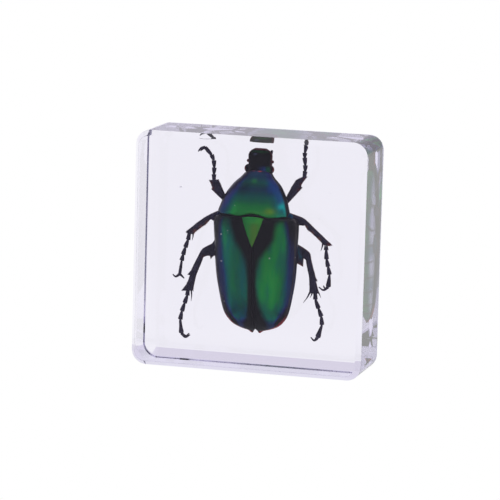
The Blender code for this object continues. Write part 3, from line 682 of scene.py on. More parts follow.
def pronotumSkin():
    # a half dome like the wing cases', its rear edge moved up and down by bells across the width
    p = pronotum
    height, middle, halfWidth, top = alongStations(p["stations"], p["rows"])
    turn = np.linspace(-math.pi / 2, math.pi / 2, p["topColumns"])[None, :]
    under = np.linspace(math.pi / 2, 3 * math.pi / 2, p["underColumns"] + 2)[None, 1:-1]
    bead = p["bead"] * bell(np.abs(turn), p["beadTurn"], p["beadWidth"])
    x = middle + (halfWidth + bead) * np.sin(turn)
    y = p["edgeDepth"] + (top - p["edgeDepth"]) * np.cos(turn) ** p["squareness"] - bead * np.cos(turn)
    sink = np.abs(np.cos(under)) ** p["squareness"]
    underY = p["edgeDepth"] + (p["undersideDepth"] - p["edgeDepth"]) * sink + 0 * height
    x, y = np.hstack([x, middle + halfWidth * np.sin(under)]), np.hstack([y, underY])
    z = height + 0 * x
    fade = eased(*p["rearFrom"], z)
    for place, width, drop in p["rearWaves"]:
        z = z - drop * bell(x, place, width) * fade
    aside = (x - middle) / halfWidth
    tone, lit, leftTone, leftLit, rightTone, rightLit = readTable(p["tones"], z)
    left, right = eased(*p["leftFrom"], -aside), eased(*p["rightFrom"], aside)
    tone, lit = tone + (leftTone - tone) * left, lit + (leftLit - lit) * left
    tone, lit = tone + (rightTone - tone) * right, lit + (rightLit - lit) * right
    onTop = np.arange(x.shape[1]) < p["topColumns"]
    row = np.arange(p["rows"])[:, None] + 0 * x
    edge = np.abs(aside)
    marks = {name: onTop * spots(table, x, z) for name, table in p["spots"].items()}
    marks["turquoise"] += onTop * spots([p["turquoiseGlintEdge"]], edge, z) * eased(0, 1, x)
    marks["tone"] = tone
    marks["lit"] = onTop * lit * eased(*p["darkFrom"], edge)
    marks["rim"] = onTop * np.maximum(eased(*p["rimFrom"], edge), eased(*p["rearRows"], row))
    return tubeSkin(np.stack([x, y, z], -1), marks)


putPiece("pronotum", pronotumSkin(), paintedShell("pronotumShell", pronotumLook))


poleTurn = 0.12         # radians from a ball's pole to its first ring


def ballSkin(centre, radii, rows, cols, marks=None):
    # an ellipsoid: rows of rings whose radius is the sine of the row's turn
    turn = np.linspace(poleTurn, math.pi - poleTurn, rows)[:, None]
    around = fullTurn(cols)
    ring = np.sin(turn)
    ball = np.stack([ring * np.cos(around), ring * np.sin(around), np.cos(turn) + 0 * around], -1)
    grid = np.asarray(centre) + ball * np.asarray(radii)
    return tubeSkin(grid, {name: np.full(grid.shape[:2], value) for name, value in (marks or {}).items()})


def ovalRings(piece):
    # rings through the stations' height, half width, back and underside, squared towards their corners
    height, halfWidth, back, under = alongStations(piece["stations"], piece["rows"])
    turn = fullTurn(piece["columns"])
    level = (back + under) / 2
    reach = np.where(np.sin(turn) > 0, back, under) - level
    x = halfWidth * np.sign(np.cos(turn)) * np.abs(np.cos(turn)) ** piece["squareness"]
    y = level + reach * np.abs(np.sin(turn)) ** piece["squareness"]
    return x, y, height + 0 * x, np.sin(turn), halfWidth


# head with its rim, eyes and feelers
head = {
    "rows": 60, "columns": 48, "x": 0.33, "squareness": 0.85,
    # height, half width, back, underside
    "stations": (
        (12.2, 1.85, -0.3, 2.3), (13.2, 2.05, -0.5, 2.5), (14.0, 1.95, -0.45, 2.4), (14.7, 1.94, -0.3, 2.3),
        (15.6, 1.95, 0.05, 2.05), (16.2, 1.6, 0.35, 1.8), (16.6, 0.95, 0.6, 1.6),
    ),
    # the rim: its rise, its sides across and up, its front, and where it ends
    "rimRise": 0.14, "rimSides": (1.35, 1.9), "rimSidesFrom": (14.6, 15.4), "rimFront": (15.9, 16.4),
    "rimEnd": 16.61,
    "frontFrom": 15.2, "frontTone": 0.8, "neckTone": 0.28, "rightTone": 0.42, "rightFrom": (0.8, 1.5),
    "shine": ((0.1, 1.1, 16.12, 0.17, 0.3),), "glint": ((-0.75, 0.22, 15.7, 0.16, 0.5),),
    "cheek": (1.05, 0.8, 0.85), "cheekFrom": (14.1, 13.4),      # lit there: across, half width, strength
    "redSides": (0.86, 0.97), "redStrength": 0.8, "redFront": (16.3, 16.5),
}
headLook = {
    **wingLook, "metallic": 0.8, "roughness": 0.4, "streaks": 0.05, "pitDepth": 0.8,
    "overlays": (("red", (0.09, 0.004, 0.012)), ("glint", (0.16, 0.2, 0.36))),
}


def headSkin():
    # oval rings whose front edge turns up as a rim
    h = head
    x, y, z, upwards, halfWidth = ovalRings(h)
    onTop = (upwards > 0) * 1.0
    sides = eased(*h["rimSides"], np.abs(x)) * eased(*h["rimSidesFrom"], z)
    edge = np.maximum(sides, eased(*h["rimFront"], z))
    y = y - h["rimRise"] * edge * onTop * eased(h["rimEnd"], h["rimFront"][1], z)
    across, half, strength = h["cheek"]
    cheek = strength * bell(x, across, half) * eased(*h["cheekFrom"], z)
    red = h["redStrength"] * eased(*h["redSides"], np.abs(x) / halfWidth)
    behind = h["neckTone"] + h["rightTone"] * eased(*h["rightFrom"], x)
    marks = {
        "tone": np.where(z > h["frontFrom"], h["frontTone"], behind),
        "lit": onTop * (spots(h["shine"], x, z) + cheek),
        "red": np.maximum(red, eased(*h["redFront"], z)),
        "glint": onTop * spots(h["glint"], x, z),
    }
    return tubeSkin(np.stack([x + h["x"], y, z], -1), marks)


putPiece("head", headSkin(), paintedShell("headShell", headLook))

chitinLook = {
    "roughness": 0.5, "ior": 1.2, "specular": 0.35, "patches": 900.0,
    "dark": (0.030, 0.026, 0.046), "light": (0.055, 0.048, 0.082),
    "pits": 6000.0, "pitDepth": 0.7, "unevenness": 0.6, "bumpStrength": 0.5, "bumpDistance": 0.00003,
    # the teal overlay is a painted blue-green reflection
    "overlays": (("red", (0.20, 0.03, 0.015)), ("amber", (0.55, 0.2, 0.1)), ("teal", (0.01, 0.16, 0.2))),
}
eyes = {
    "x": 0.21, "spread": 1.77, "radii": (0.68, 0.66, 0.7), "depth": 0.9, "height": 13.3,
    "red": 0.9, "redFrom": (0.6, 0.92),
}
eyeLook = {
    **chitinLook, "dark": (0.008, 0.006, 0.012), "light": (0.02, 0.014, 0.02), "pits": 14000.0,
    "overlays": (("red", (0.32, 0.012, 0.008)),),
}


def eyeSkin(side):
    # a ball whose outermost part, where light comes through its thin edge, is red
    e = eyes
    x = e["x"] + side * e["spread"]
    skin = ballSkin((x, e["depth"], e["height"]), e["radii"], 24, 32)
    outwards = side * (skin["points"][:, 0] - x) / e["radii"][0]
    skin["marks"]["red"] = e["red"] * eased(*e["redFrom"], outwards)
    return skin


chitin = plainChitin("legChitin", chitinLook)
putPiece("eyes", joinSkins([eyeSkin(-1), eyeSkin(1)]), plainChitin("eyeFacets", eyeLook))


# limbs: tubes along smooth paths
def pathThrough(points, count):
    # the points joined by a smooth curve, read at even shares of its length
    points = np.asarray(points, float)
    travelled = np.concatenate([[0], np.cumsum(np.linalg.norm(np.diff(points, axis=0), axis=1))])
    return smoothThrough(travelled, points, np.linspace(0, travelled[-1], count))


def limbSkin(path, widths, flatness, sides, red):
    # a ring of cos and sin at each point of the path, its width in the plane of the legs, flattened in depth.
    # The mark red grows towards the edge on one side
    along = unit(np.gradient(path, axis=0))
    aside = unit(np.cross(along, (0, 1, 0)))
    deep = np.cross(aside, along)
    turn = fullTurn(sides)[..., None]
    ring = np.cos(turn) * aside[:, None] + flatness * np.sin(turn) * deep[:, None]
    grid = path[:, None] + np.asarray(widths)[:, None, None] * ring
    edge = eased(*limbs["redFrom"], np.abs(np.cos(turn)))[..., 0]
    return tubeSkin(grid, {"red": red * edge + 0 * grid[..., 0]})


def thornSkin(root, tip, widths, bend, red):
    # a cone that thins evenly along a curve through a point set off from the middle
    rows = limbs["thornRows"]
    middle = (root + tip) / 2 + bend * np.cross(tip - root, (0, 1, 0))
    path = pathThrough([root, middle, tip], rows)
    return limbSkin(path, np.linspace(*widths, rows), limbs["roundness"], limbs["thornSides"], red)


# each leg: its limb's stations from inside the body over the knee to the shin's end (across and height of
# one edge, across and height of the other, depth, half thickness; teeth are corners of an edge), its
# tarsus' joints (across, height), the last joint's half widths, its claws by bend and tip, its spurs by
# root and tip, and its stains and painted glints by across, height, radius and strength
legs = {
    "legLeftFront": {
        "limb": (
            (-5.12, 6.68, -4.4, 7.7, 1.7, 0.5), (-5.87, 7.9, -5.36, 8.7, 1.45, 0.42),
            (-6.59, 8.51, -5.75, 9.5, 1.3, 0.42), (-7.22, 9.06, -5.98, 9.97, 1.3, 0.4),
            (-7.71, 9.47, -6.12, 10.25, 1.3, 0.34), (-7.57, 9.67, -6.17, 10.36, 1.3, 0.36),
            (-7.64, 9.99, -6.26, 10.54, 1.3, 0.38), (-7.86, 10.46, -6.44, 10.87, 1.3, 0.38),
            (-8.13, 10.88, -6.59, 11.07, 1.3, 0.34), (-7.94, 10.97, -6.73, 11.13, 1.3, 0.26),
        ),
        "tarsus": (
            (-7.32, 11.01), (-7.35, 11.93), (-7.32, 13.01), (-7.42, 14.17), (-7.82, 15.03),
            (-8.92, 16.19),
        ),
        "lastJoint": (0.26, 0.33, 0.31),
        "claws": ((-9.56, 16.02, -10.01, 15.46), (-9.36, 15.9, -9.72, 15.54)),
        "spurs": (),
        "red": ((-7.85, 10.5, 0.3, 0.7), (-7.55, 9.7, 0.3, 0.7), (-7.3, 9.0, 0.3, 0.6)),
    },
    "legRightFront": {
        "limb": (
            (3.82, 6.71, 3.7, 7.83, 1.7, 0.5), (4.94, 7.98, 4.68, 9.09, 1.45, 0.42),
            (5.48, 8.59, 5, 9.73, 1.3, 0.42), (6.19, 9.41, 5.45, 10.64, 1.3, 0.42),
            (6.84, 10.16, 5.87, 11.36, 1.3, 0.4), (7.25, 10.66, 6.14, 11.73, 1.3, 0.34),
            (7.05, 10.97, 6.25, 11.88, 1.3, 0.36), (7.28, 11.43, 6.62, 12.13, 1.3, 0.38),
            (7.65, 11.97, 7, 12.31, 1.3, 0.36), (8, 12.47, 7.21, 12.44, 1.3, 0.32),
            (7.8, 12.54, 7.33, 12.54, 1.3, 0.25),
        ),
        "tarsus": (
            (7.54, 12.44), (7.66, 13.36), (7.66, 14.32), (7.51, 15.54), (7.52, 16.27), (7.7, 17.3),
        ),
        "lastJoint": (0.2, 0.28, 0.36),
        "claws": ((7.95, 17.75, 7.95, 18.05), (7.4, 17.7, 7.3, 17.95)),
        "spurs": (),
        "red": ((7.7, 12.0, 0.3, 0.7), (7.2, 11.2, 0.3, 0.7), (6.8, 10.3, 0.3, 0.6)),
    },
    "legLeftMiddle": {
        "limb": (
            (-5.4, 6.53, -5.34, 4.27, 2.1, 0.8), (-6.79, 5.99, -6.91, 4.29, 1.8, 0.7),
            (-7.16, 5.81, -7.31, 4.42, 1.6, 0.6), (-7.72, 5.52, -7.71, 4.62, 1.5, 0.48),
            (-8.36, 5.15, -7.94, 4.4, 1.4, 0.42), (-9.16, 4.59, -8.45, 3.82, 1.3, 0.4),
            (-9.98, 3.96, -9.29, 3.18, 1.3, 0.4), (-10.71, 3.31, -9.91, 2.7, 1.3, 0.42),
            (-11.37, 2.75, -10.32, 2.3, 1.3, 0.42), (-11.79, 2.38, -10.57, 2.15, 1.3, 0.34),
            (-11.55, 2.13, -10.76, 2.04, 1.3, 0.26),
        ),
        "tarsus": (
            (-11.22, 2.13), (-11.39, 1.07), (-11.83, -0.21), (-12.17, -1.4), (-12.38, -2.38),
            (-12.66, -4.6),
        ),
        "lastJoint": (0.2, 0.25, 0.27),
        "claws": ((-13.36, -5.04, -13.77, -4.68), (-12.29, -4.92, -11.94, -5.28)),
        "spurs": ((-10.57, 2.19, -10.77, 1),),
        "amber": ((-10.2, 2.55, 0.3, 0.6), (-9.1, 3.25, 0.35, 0.7), (-8.2, 4.0, 0.35, 0.6)),
    },
    "legRightMiddle": {
        "limb": (
            (4.2, 6.84, 4.27, 4.59, 2.1, 0.8), (5.45, 6.44, 6, 4.76, 1.8, 0.7),
            (6.48, 6.19, 6.86, 4.64, 1.6, 0.6), (7.33, 5.95, 7.6, 4.6, 1.5, 0.5),
            (7.83, 5.71, 7.87, 4.73, 1.4, 0.44), (8.28, 5.39, 8.02, 4.43, 1.3, 0.42),
            (8.79, 4.95, 8.34, 4.03, 1.3, 0.42), (9.71, 4.16, 9.13, 3.49, 1.3, 0.4),
            (10.64, 3.37, 9.9, 2.84, 1.3, 0.42), (11.48, 2.64, 10.52, 2.3, 1.3, 0.42),
            (12.07, 2.17, 10.86, 1.97, 1.3, 0.42), (12.44, 1.84, 11.03, 1.81, 1.3, 0.34),
            (11.95, 1.68, 11.26, 1.69, 1.3, 0.26),
        ),
        "tarsus": (
            (11.45, 1.62), (11.47, 1), (11.59, -0.5), (11.88, -1.66), (12.16, -2.94), (12, -4.92),
        ),
        "lastJoint": (0.2, 0.33, 0.42),
        "claws": ((11.24, -5.46, 10.49, -5), (11.48, -5.21, 11.16, -4.79)),
        "spurs": ((10.89, 1.96, 10.54, 0.74),),
        "amber": ((8.1, 4.4, 0.3, 0.5), (9.1, 3.5, 0.35, 0.6), (10.2, 2.6, 0.35, 0.6)),
        "red": ((12.0, 1.8, 0.4, 0.8),),
    },
    "legLeftHind": {
        "limb": (
            (-5.28, 1.34, -5.21, -1.25, 2.2, 0.8), (-7.1, 1.26, -7.03, -1.26, 1.85, 0.75),
            (-7.48, 0.7, -7.29, -1.44, 1.8, 0.75), (-7.63, 0.6, -7.56, -1.83, 1.7, 0.7),
            (-7.79, 0.52, -7.75, -1.33, 1.7, 0.68), (-8.43, 0.16, -8.23, -1.35, 1.6, 0.6),
            (-8.91, -0.15, -8.62, -1.52, 1.5, 0.52), (-9.27, -0.6, -8.79, -1.6, 1.45, 0.46),
            (-9.55, -1.2, -8.89, -1.93, 1.4, 0.42), (-10.05, -2.22, -9.09, -2.52, 1.3, 0.4),
            (-10.5, -3.22, -9.42, -3.39, 1.3, 0.4), (-10.79, -3.85, -9.64, -3.94, 1.3, 0.4),
            (-11.37, -4.59, -9.86, -4.6, 1.3, 0.36), (-10.95, -4.65, -9.91, -4.78, 1.3, 0.4),
            (-11.15, -5.31, -10.04, -5.39, 1.3, 0.42), (-11.53, -6.2, -10.22, -6.32, 1.3, 0.44),
            (-12.35, -7.29, -10.3, -7.01, 1.3, 0.36), (-11.7, -7.25, -10.31, -7.12, 1.3, 0.3),
        ),
        "tarsus": (
            (-11.21, -7.03), (-11.3, -7.98), (-11.73, -9.29), (-12.15, -10.63), (-12.4, -12.02),
            (-12.14, -14.25),
        ),
        "lastJoint": (0.23, 0.28, 0.42),
        "claws": ((-11.44, -14.82, -10.64, -14.37), (-11.36, -14.63, -10.87, -14.17)),
        "spurs": ((-10.66, -6.99, -10.71, -8.92),),
        "red": ((-8.7, -1.55, 0.3, 0.6), (-7.9, -1.6, 0.3, 0.7), (-7.55, -1.8, 0.3, 0.9)),
    },
    "legRightHind": {
        "limb": (
            (4.65, 2.03, 4.75, -1.35, 2.2, 0.8), (6.48, 1.69, 6.46, -1.49, 1.85, 0.75),
            (7, 1.41, 7.01, -1.68, 1.75, 0.65), (7.6, 1.11, 7.68, -2.01, 1.7, 0.55),
            (7.69, 1.05, 7.7, -1.32, 1.7, 0.6), (7.85, 0.97, 7.74, -0.63, 1.65, 0.58),
            (8.3, 0.72, 7.95, -0.72, 1.55, 0.52), (8.74, 0.4, 8.19, -0.86, 1.5, 0.48),
            (8.93, 0, 8.22, -1.05, 1.45, 0.44), (9.07, -0.71, 8.29, -1.49, 1.4, 0.42),
            (9.44, -1.97, 8.55, -2.43, 1.3, 0.4), (9.73, -2.89, 8.74, -3.22, 1.3, 0.4),
            (9.9, -3.49, 8.82, -3.7, 1.3, 0.4), (10.18, -4, 8.85, -4.18, 1.3, 0.36),
            (9.99, -4.16, 8.88, -4.4, 1.3, 0.4), (10.21, -4.92, 8.92, -5.14, 1.3, 0.42),
            (10.45, -5.71, 8.92, -5.79, 1.3, 0.42), (10.56, -6.06, 8.92, -6.18, 1.3, 0.34),
        ),
        "tarsus": (
            (9.9, -5.96), (9.96, -7.09), (10.52, -8.5), (11.02, -9.76), (11.17, -11.12),
            (10.52, -13.22),
        ),
        "lastJoint": (0.21, 0.31, 0.44),
        "claws": ((9.99, -13.71, 9.44, -13.22), (10.21, -13.61, 10.12, -13.25)),
        "spurs": ((9.05, -5.95, 7.94, -7.79), (9.45, -5.9, 9.02, -6.9), (10.3, -5.75, 10.79, -6.77)),
        "amber": ((7.2, -1.75, 0.3, 0.6), (7.6, -2.0, 0.25, 0.7)),
        # teal: painted blue-green reflections on the thigh
        "teal": ((6.6, 1.0, 0.35, 0.8), (6.95, 0.35, 0.35, 0.8), (7.3, -0.35, 0.35, 0.7)),
    },
}
limbs = {
    "footDepth": 1.3, "spurTipDepth": 1.6, "rowsPerGap": 6, "sides": 24, "squareness": 0.8,
    # shares of the half width where a tube's and a limb's red edge grows, how red limb, spine and rest are
    "redFrom": (0.75, 1.0), "edgeFrom": (0.8, 1.0), "edgeRed": 0.35, "spineRed": 0.4, "red": 0.3,
    # share of the way along, half width
    "joint": ((0.0, 0.16), (0.12, 0.23), (0.4, 0.31), (0.7, 0.37), (0.86, 0.38), (0.95, 0.33), (1.0, 0.18)),
    "firstJoint": ((0.0, 0.3), (0.12, 0.31), (0.5, 0.34), (0.86, 0.38), (0.95, 0.33), (1.0, 0.2)),
    "jointRows": 20, "jointSides": 14, "jointSlant": 0.07, "slantFrom": (0.7, 1.0), "flatness": 0.72,
    # the last joint: where its half widths stand along it, and how much thinner its first and last one get
    "lastPlaces": (0.0, 0.1, 0.5, 0.85, 0.96, 1.0), "lastThins": (0.7, 0.9), "lastTip": 0.2,
    # the spine at a joint's end: its length, where it starts along and aside, its lean, its half widths
    "spine": 0.16, "spineAt": 0.86, "spineAside": 0.3, "spineLean": (0.9, 0.45), "spineWidths": (0.09, 0.025),
    "spurWidths": (0.16, 0.03), "spurBend": 0.04,
    "clawWidths": (0.25, 0.09), "clawRows": 14, "clawSides": 12, "clawSplay": 0.25,
    # roundness is how deep a spine, spur, claw or palp is for its width
    "thornRows": 9, "thornSides": 10, "roundness": 0.9,
}


def limbProfile(share, width):
    return np.interp(np.linspace(0, 1, limbs["jointRows"]), share, width)


def legPlace(spot, depth):
    return np.array([spot[0], depth, spot[1]])


def footPlaces(leg):
    return [legPlace(spot, limbs["footDepth"]) for spot in leg["tarsus"]]


def stainsAndGlints(leg, kind, x, z):
    # soft round stains and painted glints, the strongest one wins where they overlap
    marks = [strength * bell(np.hypot(x - across, z - height), 0, radius)
             for across, height, radius, strength in leg.get(kind, ())]
    return np.max(marks, axis=0) if marks else 0 * x


def limbBodySkin(leg):
    # rings from one edge of the limb to the other: middle + cos t * half the way across
    # + sin^q t * half thickness in depth, in straight lines from station to station
    gaps = len(leg["limb"]) - 1
    places = np.linspace(0, gaps, gaps * limbs["rowsPerGap"] + 1)[:, None]
    x1, z1, x2, z2, depth, thickness = betweenStations(leg["limb"], places)
    turn = fullTurn(limbs["sides"])
    x = (x1 + x2) / 2 + np.cos(turn) * (x1 - x2) / 2
    z = (z1 + z2) / 2 + np.cos(turn) * (z1 - z2) / 2
    y = depth + thickness * np.sign(np.sin(turn)) * np.abs(np.sin(turn)) ** limbs["squareness"]
    marks = {kind: stainsAndGlints(leg, kind, x, z) for kind in ("red", "amber", "teal")}
    edge = limbs["edgeRed"] * eased(*limbs["edgeFrom"], np.abs(np.cos(turn)))
    marks["red"] = np.maximum(edge, marks["red"])
    return tubeSkin(np.stack([x, y, z], -1), marks)


def jointSkin(start, end, widths):
    # a tube along the joint whose far end is drawn out to two points at its sides
    path = pathThrough([start, (start + end) / 2, end], len(widths))
    skin = limbSkin(path, widths, limbs["flatness"], limbs["jointSides"], limbs["red"])
    along = unit(end - start)
    offset = skin["points"] - start
    aside = np.abs(offset @ np.cross(along, (0, 1, 0))) / widths.max()
    share = offset @ along / np.linalg.norm(end - start)
    drawn = limbs["jointSlant"] * aside**2 * eased(*limbs["slantFrom"], share)
    skin["points"] = skin["points"] + drawn[:, None] * along
    return skin


def tarsusSkins(leg):
    # each joint is a cup that flares to its end, with a spine on both sides there; the last is slim and bare
    joints = footPlaces(leg)
    skins = []
    for number, (start, end) in enumerate(zip(joints, joints[1:-1])):
        keys = limbs["joint" if number else "firstJoint"]
        skins.append(jointSkin(start, end, limbProfile(*np.transpose(keys))))
        along = unit(end - start)
        forwards, sidewards = limbs["spineLean"]
        for way in (-1, 1):
            aside = way * np.cross(along, (0, 1, 0))
            root = start + (end - start) * limbs["spineAt"] + aside * limbs["spineAside"]
            tip = root + limbs["spine"] * (along * forwards + aside * sidewards)
            skins.append(thornSkin(root, tip, limbs["spineWidths"], 0.0, limbs["spineRed"]))
    first, middle, last = leg["lastJoint"]
    thinFirst, thinLast = limbs["lastThins"]
    widths = (first * thinFirst, first, middle, last, last * thinLast, limbs["lastTip"])
    return skins + [jointSkin(joints[-2], joints[-1], limbProfile(limbs["lastPlaces"], widths))]


def legSkin(leg):
    # thigh and shin in one, then tarsus, claws and spurs of one leg
    skins = [limbBodySkin(leg)] + tarsusSkins(leg)
    depth, splay = limbs["footDepth"], limbs["clawSplay"]
    widths = np.linspace(*limbs["clawWidths"], limbs["clawRows"])
    for claw, way in zip(leg["claws"], (-1, 1)):
        path = pathThrough([legPlace(leg["tarsus"][-1], depth), legPlace(claw[:2], depth + way * splay / 2),
                            legPlace(claw[2:], depth + way * splay)], limbs["clawRows"])
        skins.append(limbSkin(path, widths, limbs["roundness"], limbs["clawSides"], limbs["red"]))
    for spur in leg["spurs"]:
        root, tip = legPlace(spur[:2], depth), legPlace(spur[2:], limbs["spurTipDepth"])
        skins.append(thornSkin(root, tip, limbs["spurWidths"], limbs["spurBend"], limbs["red"]))
    return joinSkins(skins)


for name, leg in legs.items():
    putPiece(name, legSkin(leg), chitin)


# feelers and palps; across is counted from the head's middle, and outwards for the feelers
mouth = {
    "stalk": ((1.2, 1.4, 14.0), (1.8, 1.1, 14.1), (1.95, 0.95, 14.4)),
    "stalkRows": 16, "palpRows": 14, "sides": 10, "stalkWidth": 0.09, "stalkRed": 0.9,
    "club": (1.98, 0.95, 14.55), "leafGap": 0.13, "leafRadii": (0.24, 0.055, 0.26), "leafRed": 0.6,
    # root, tip, half width: the left palp lies along the head's edge, the right one stands out at its corner
    "palps": (((-1.5, 1.5, 15.0), (-1.75, 1.3, 15.75), 0.2), ((1.55, 1.5, 15.1), (1.82, 1.2, 16.35), 0.24)),
    "palpThins": 0.8, "palpRed": 0.5,
}


def feelerSkins(side):
    # a thin stalk from under the head and a club of three leaves
    outwards, middle = np.array([side, 1, 1]), np.array([head["x"], 0, 0])
    stalk = pathThrough(np.array(mouth["stalk"]) * outwards + middle, mouth["stalkRows"])
    widths = np.full(mouth["stalkRows"], mouth["stalkWidth"])
    skins = [limbSkin(stalk, widths, 1.0, mouth["sides"], mouth["stalkRed"])]
    for leaf in (-1, 0, 1):
        centre = np.array(mouth["club"]) * outwards + middle + (0, mouth["leafGap"] * leaf, 0)
        skins.append(ballSkin(centre, mouth["leafRadii"], 12, 16, {"red": mouth["leafRed"]}))
    return skins


def palpSkin(root, tip, width):
    # a short rod that thins to its tip
    root, tip = (np.array(end) + (head["x"], 0, 0) for end in (root, tip))
    path = pathThrough([root, (root + tip) / 2, tip], mouth["palpRows"])
    widths = np.linspace(width, width * mouth["palpThins"], mouth["palpRows"])
    return limbSkin(path, widths, limbs["roundness"], mouth["sides"], mouth["palpRed"])


mouthSkins = feelerSkins(-1) + feelerSkins(1) + [palpSkin(*palp) for palp in mouth["palps"]]
putPiece("feelersAndPalps", joinSkins(mouthSkins), chitin)

# the small plates at the shoulders
shoulderPlates = {
    "left": {"centre": (-5.85, 0.1, 5.75), "radii": (0.62, 0.4, 0.6), "marks": {"tone": 0.3, "lit": 0.25}},
    "right": {"centre": (5.5, 0.1, 6.0), "radii": (0.62, 0.4, 0.6), "marks": {"tone": 0.42, "lit": 0.6}},
}
plates = [ballSkin(p["centre"], p["radii"], 16, 24, p["marks"]) for p in shoulderPlates.values()]
putPiece("shoulderPlates", joinSkins(plates), paintedShell("plateShell", {**headLook, "overlays": ()}))


# underbody: breast plates and belly rings
underbody = {
    "rows": 220, "columns": 56, "squareness": 0.9,
    # heights where a belly ring ends, how far each steps in, its curve at the sides, and its seam
    "rings": (0.0, -2.7, -5.3, -7.7, -9.9, -11.3), "ringStep": 0.2, "ringCurve": 0.25, "ringReach": 6.0,
    "ringFold": (0.28, 0.32), "ringSeam": (-0.1, 0.12),
    # heights of the grooves between breast plates, their depth, widths and curve
    "grooves": (7.0, 3.0), "grooveDepth": 0.25, "grooveWidth": 0.16, "grooveSeam": 0.14, "grooveCurve": 0.5,
    "grooveReach": 5.0,
    "furrow": 0.16, "furrowWidth": 0.16, "furrowFrom": (0.2, 1.0), "furrowTo": (7.0, 6.2),
    "tone": 0.62, "toneAcross": (0.14, 0.7), "toneAlong": (0.06, 1.1),
    "lit": 0.8, "seam": 0.85, "seamDims": 0.6,
    # pale hairs along both sides, thinner at two heights on the belly rings; their pale lavender also stands
    # for a painted reflection of the bright surround
    "down": 0.6, "downAndSheenFrom": (2.2, 4.8), "thinner": ((-0.8, 1.2), (-6.5, 1.4)), "thinnerShare": 0.8,
    # height, half width, back, underside
    "stations": (
        (12.2, 1.9, 0.2, 2.2), (10.6, 3.5, 0.1, 2.9), (8.2, 4.7, 0.0, 3.45), (7.0, 5.0, 0.0, 3.4),
        (5.4, 5.4, 0.0, 3.85), (2.0, 5.9, 0.0, 3.9), (0.0, 6.0, 0.0, 3.75), (-2.7, 5.9, 0.0, 3.5),
        (-5.3, 5.6, 0.0, 3.25), (-7.7, 5.15, 0.0, 2.9), (-9.9, 4.4, 0.0, 2.4), (-11.6, 3.1, 0.2, 1.9),
        (-12.5, 1.5, 0.5, 1.4),
    ),
    # a rounded plate where each leg leaves the breast, as far across as a share of the limb's root
    "coxaShare": 0.56, "coxaDepth": 3.0, "coxaRadii": (1.5, 0.75, 0.85),
    "coxaMarks": {"tone": 0.66, "lit": 0.5, "down": 0.1},
}
bellyLook = {
    **wingLook, "metallic": 0.7, "roughness": 0.42, "pits": 3800.0, "pitDepth": 0.8, "streaks": 0.12,
    # the pale down overlay is partly hairs and partly a painted lavender reflection
    "overlays": (("down", (0.74, 0.68, 0.84)), ("seam", (0.012, 0.010, 0.014))),
}


def underbodySkin():
    # oval rings; below the breast each belly ring is a shelf that falls to the next, and a furrow runs along
    # the middle
    u = underbody
    x, y, z, upwards, halfWidth = ovalRings(u)
    below = (upwards <= 0) * np.abs(upwards) ** 0.5
    seam = 0 * z
    for end in u["rings"]:
        curved = end + u["ringCurve"] * (x / u["ringReach"]) ** 2
        y = y + below * u["ringStep"] * bell(z, curved + u["ringFold"][0], u["ringFold"][1])
        seam = np.maximum(seam, bell(z, curved + u["ringSeam"][0], u["ringSeam"][1]))
    for groove in u["grooves"]:
        curved = groove + u["grooveCurve"] * np.cos(x / u["grooveReach"] * math.pi)
        y = y - below * u["grooveDepth"] * bell(z, curved, u["grooveWidth"])
        seam = np.maximum(seam, bell(z, curved, u["grooveSeam"]))
    furrow = bell(x, 0, u["furrowWidth"]) * eased(*u["furrowFrom"], z) * eased(*u["furrowTo"], z)
    y = y - below * u["furrow"] * furrow
    thinner = np.max([bell(z, *place) for place in u["thinner"]], axis=0)
    (across, acrossTurns), (along, alongTurns) = u["toneAcross"], u["toneAlong"]
    marks = {
        "tone": u["tone"] + across * np.cos(x * acrossTurns) + along * np.sin(z * alongTurns),
        "lit": u["lit"] * (1 - u["seamDims"] * seam),
        "seam": u["seam"] * seam,
        "down": u["down"] * eased(*u["downAndSheenFrom"], np.abs(x)) * (1 - u["thinnerShare"] * thinner),
    }
    return tubeSkin(np.stack([x, y, z], -1), marks)


def coxaSkin(leg):
    x1, z1, x2, z2 = leg["limb"][0][:4]
    centre = ((x1 + x2) / 2 * underbody["coxaShare"], underbody["coxaDepth"], (z1 + z2) / 2)
    return ballSkin(centre, underbody["coxaRadii"], 18, 26, underbody["coxaMarks"])


bellySkins = [underbodySkin()] + [coxaSkin(leg) for leg in legs.values()]
putPiece("underbody", joinSkins(bellySkins), paintedShell("bellyShell", bellyLook))


# bristles
bristles = {
    "seed": 7, "width": 0.022, "depthSpread": 0.08, "waySpread": 0.2,
    "perShin": 60, "perThigh": 24, "perJoint": 3, "perFringe": 70,
    "shinLength": (0.15, 0.32), "thighLength": (0.12, 0.25), "jointLength": (0.15, 0.28),
    "fringeLength": (0.15, 0.3),
    "limbLean": (0.8, 0.6), "jointLean": (0.75, 0.6),       # forwards, outwards
    "sunk": 0.04, "jointSpan": (0.3, 0.95), "jointAside": 0.22,
    # which station of the limb is the knee, which edge, 0 or 2, has the dense reddish fringe
    "knees": {"Front": 3, "Middle": 4, "Hind": 7}, "fringed": {"legLeftMiddle": 2, "legRightMiddle": 2},
}
bristleLook = {
    **chitinLook, "dark": (0.07, 0.022, 0.014), "light": (0.13, 0.045, 0.025),
    "overlays": (("amber", (0.6, 0.22, 0.12)),),
}


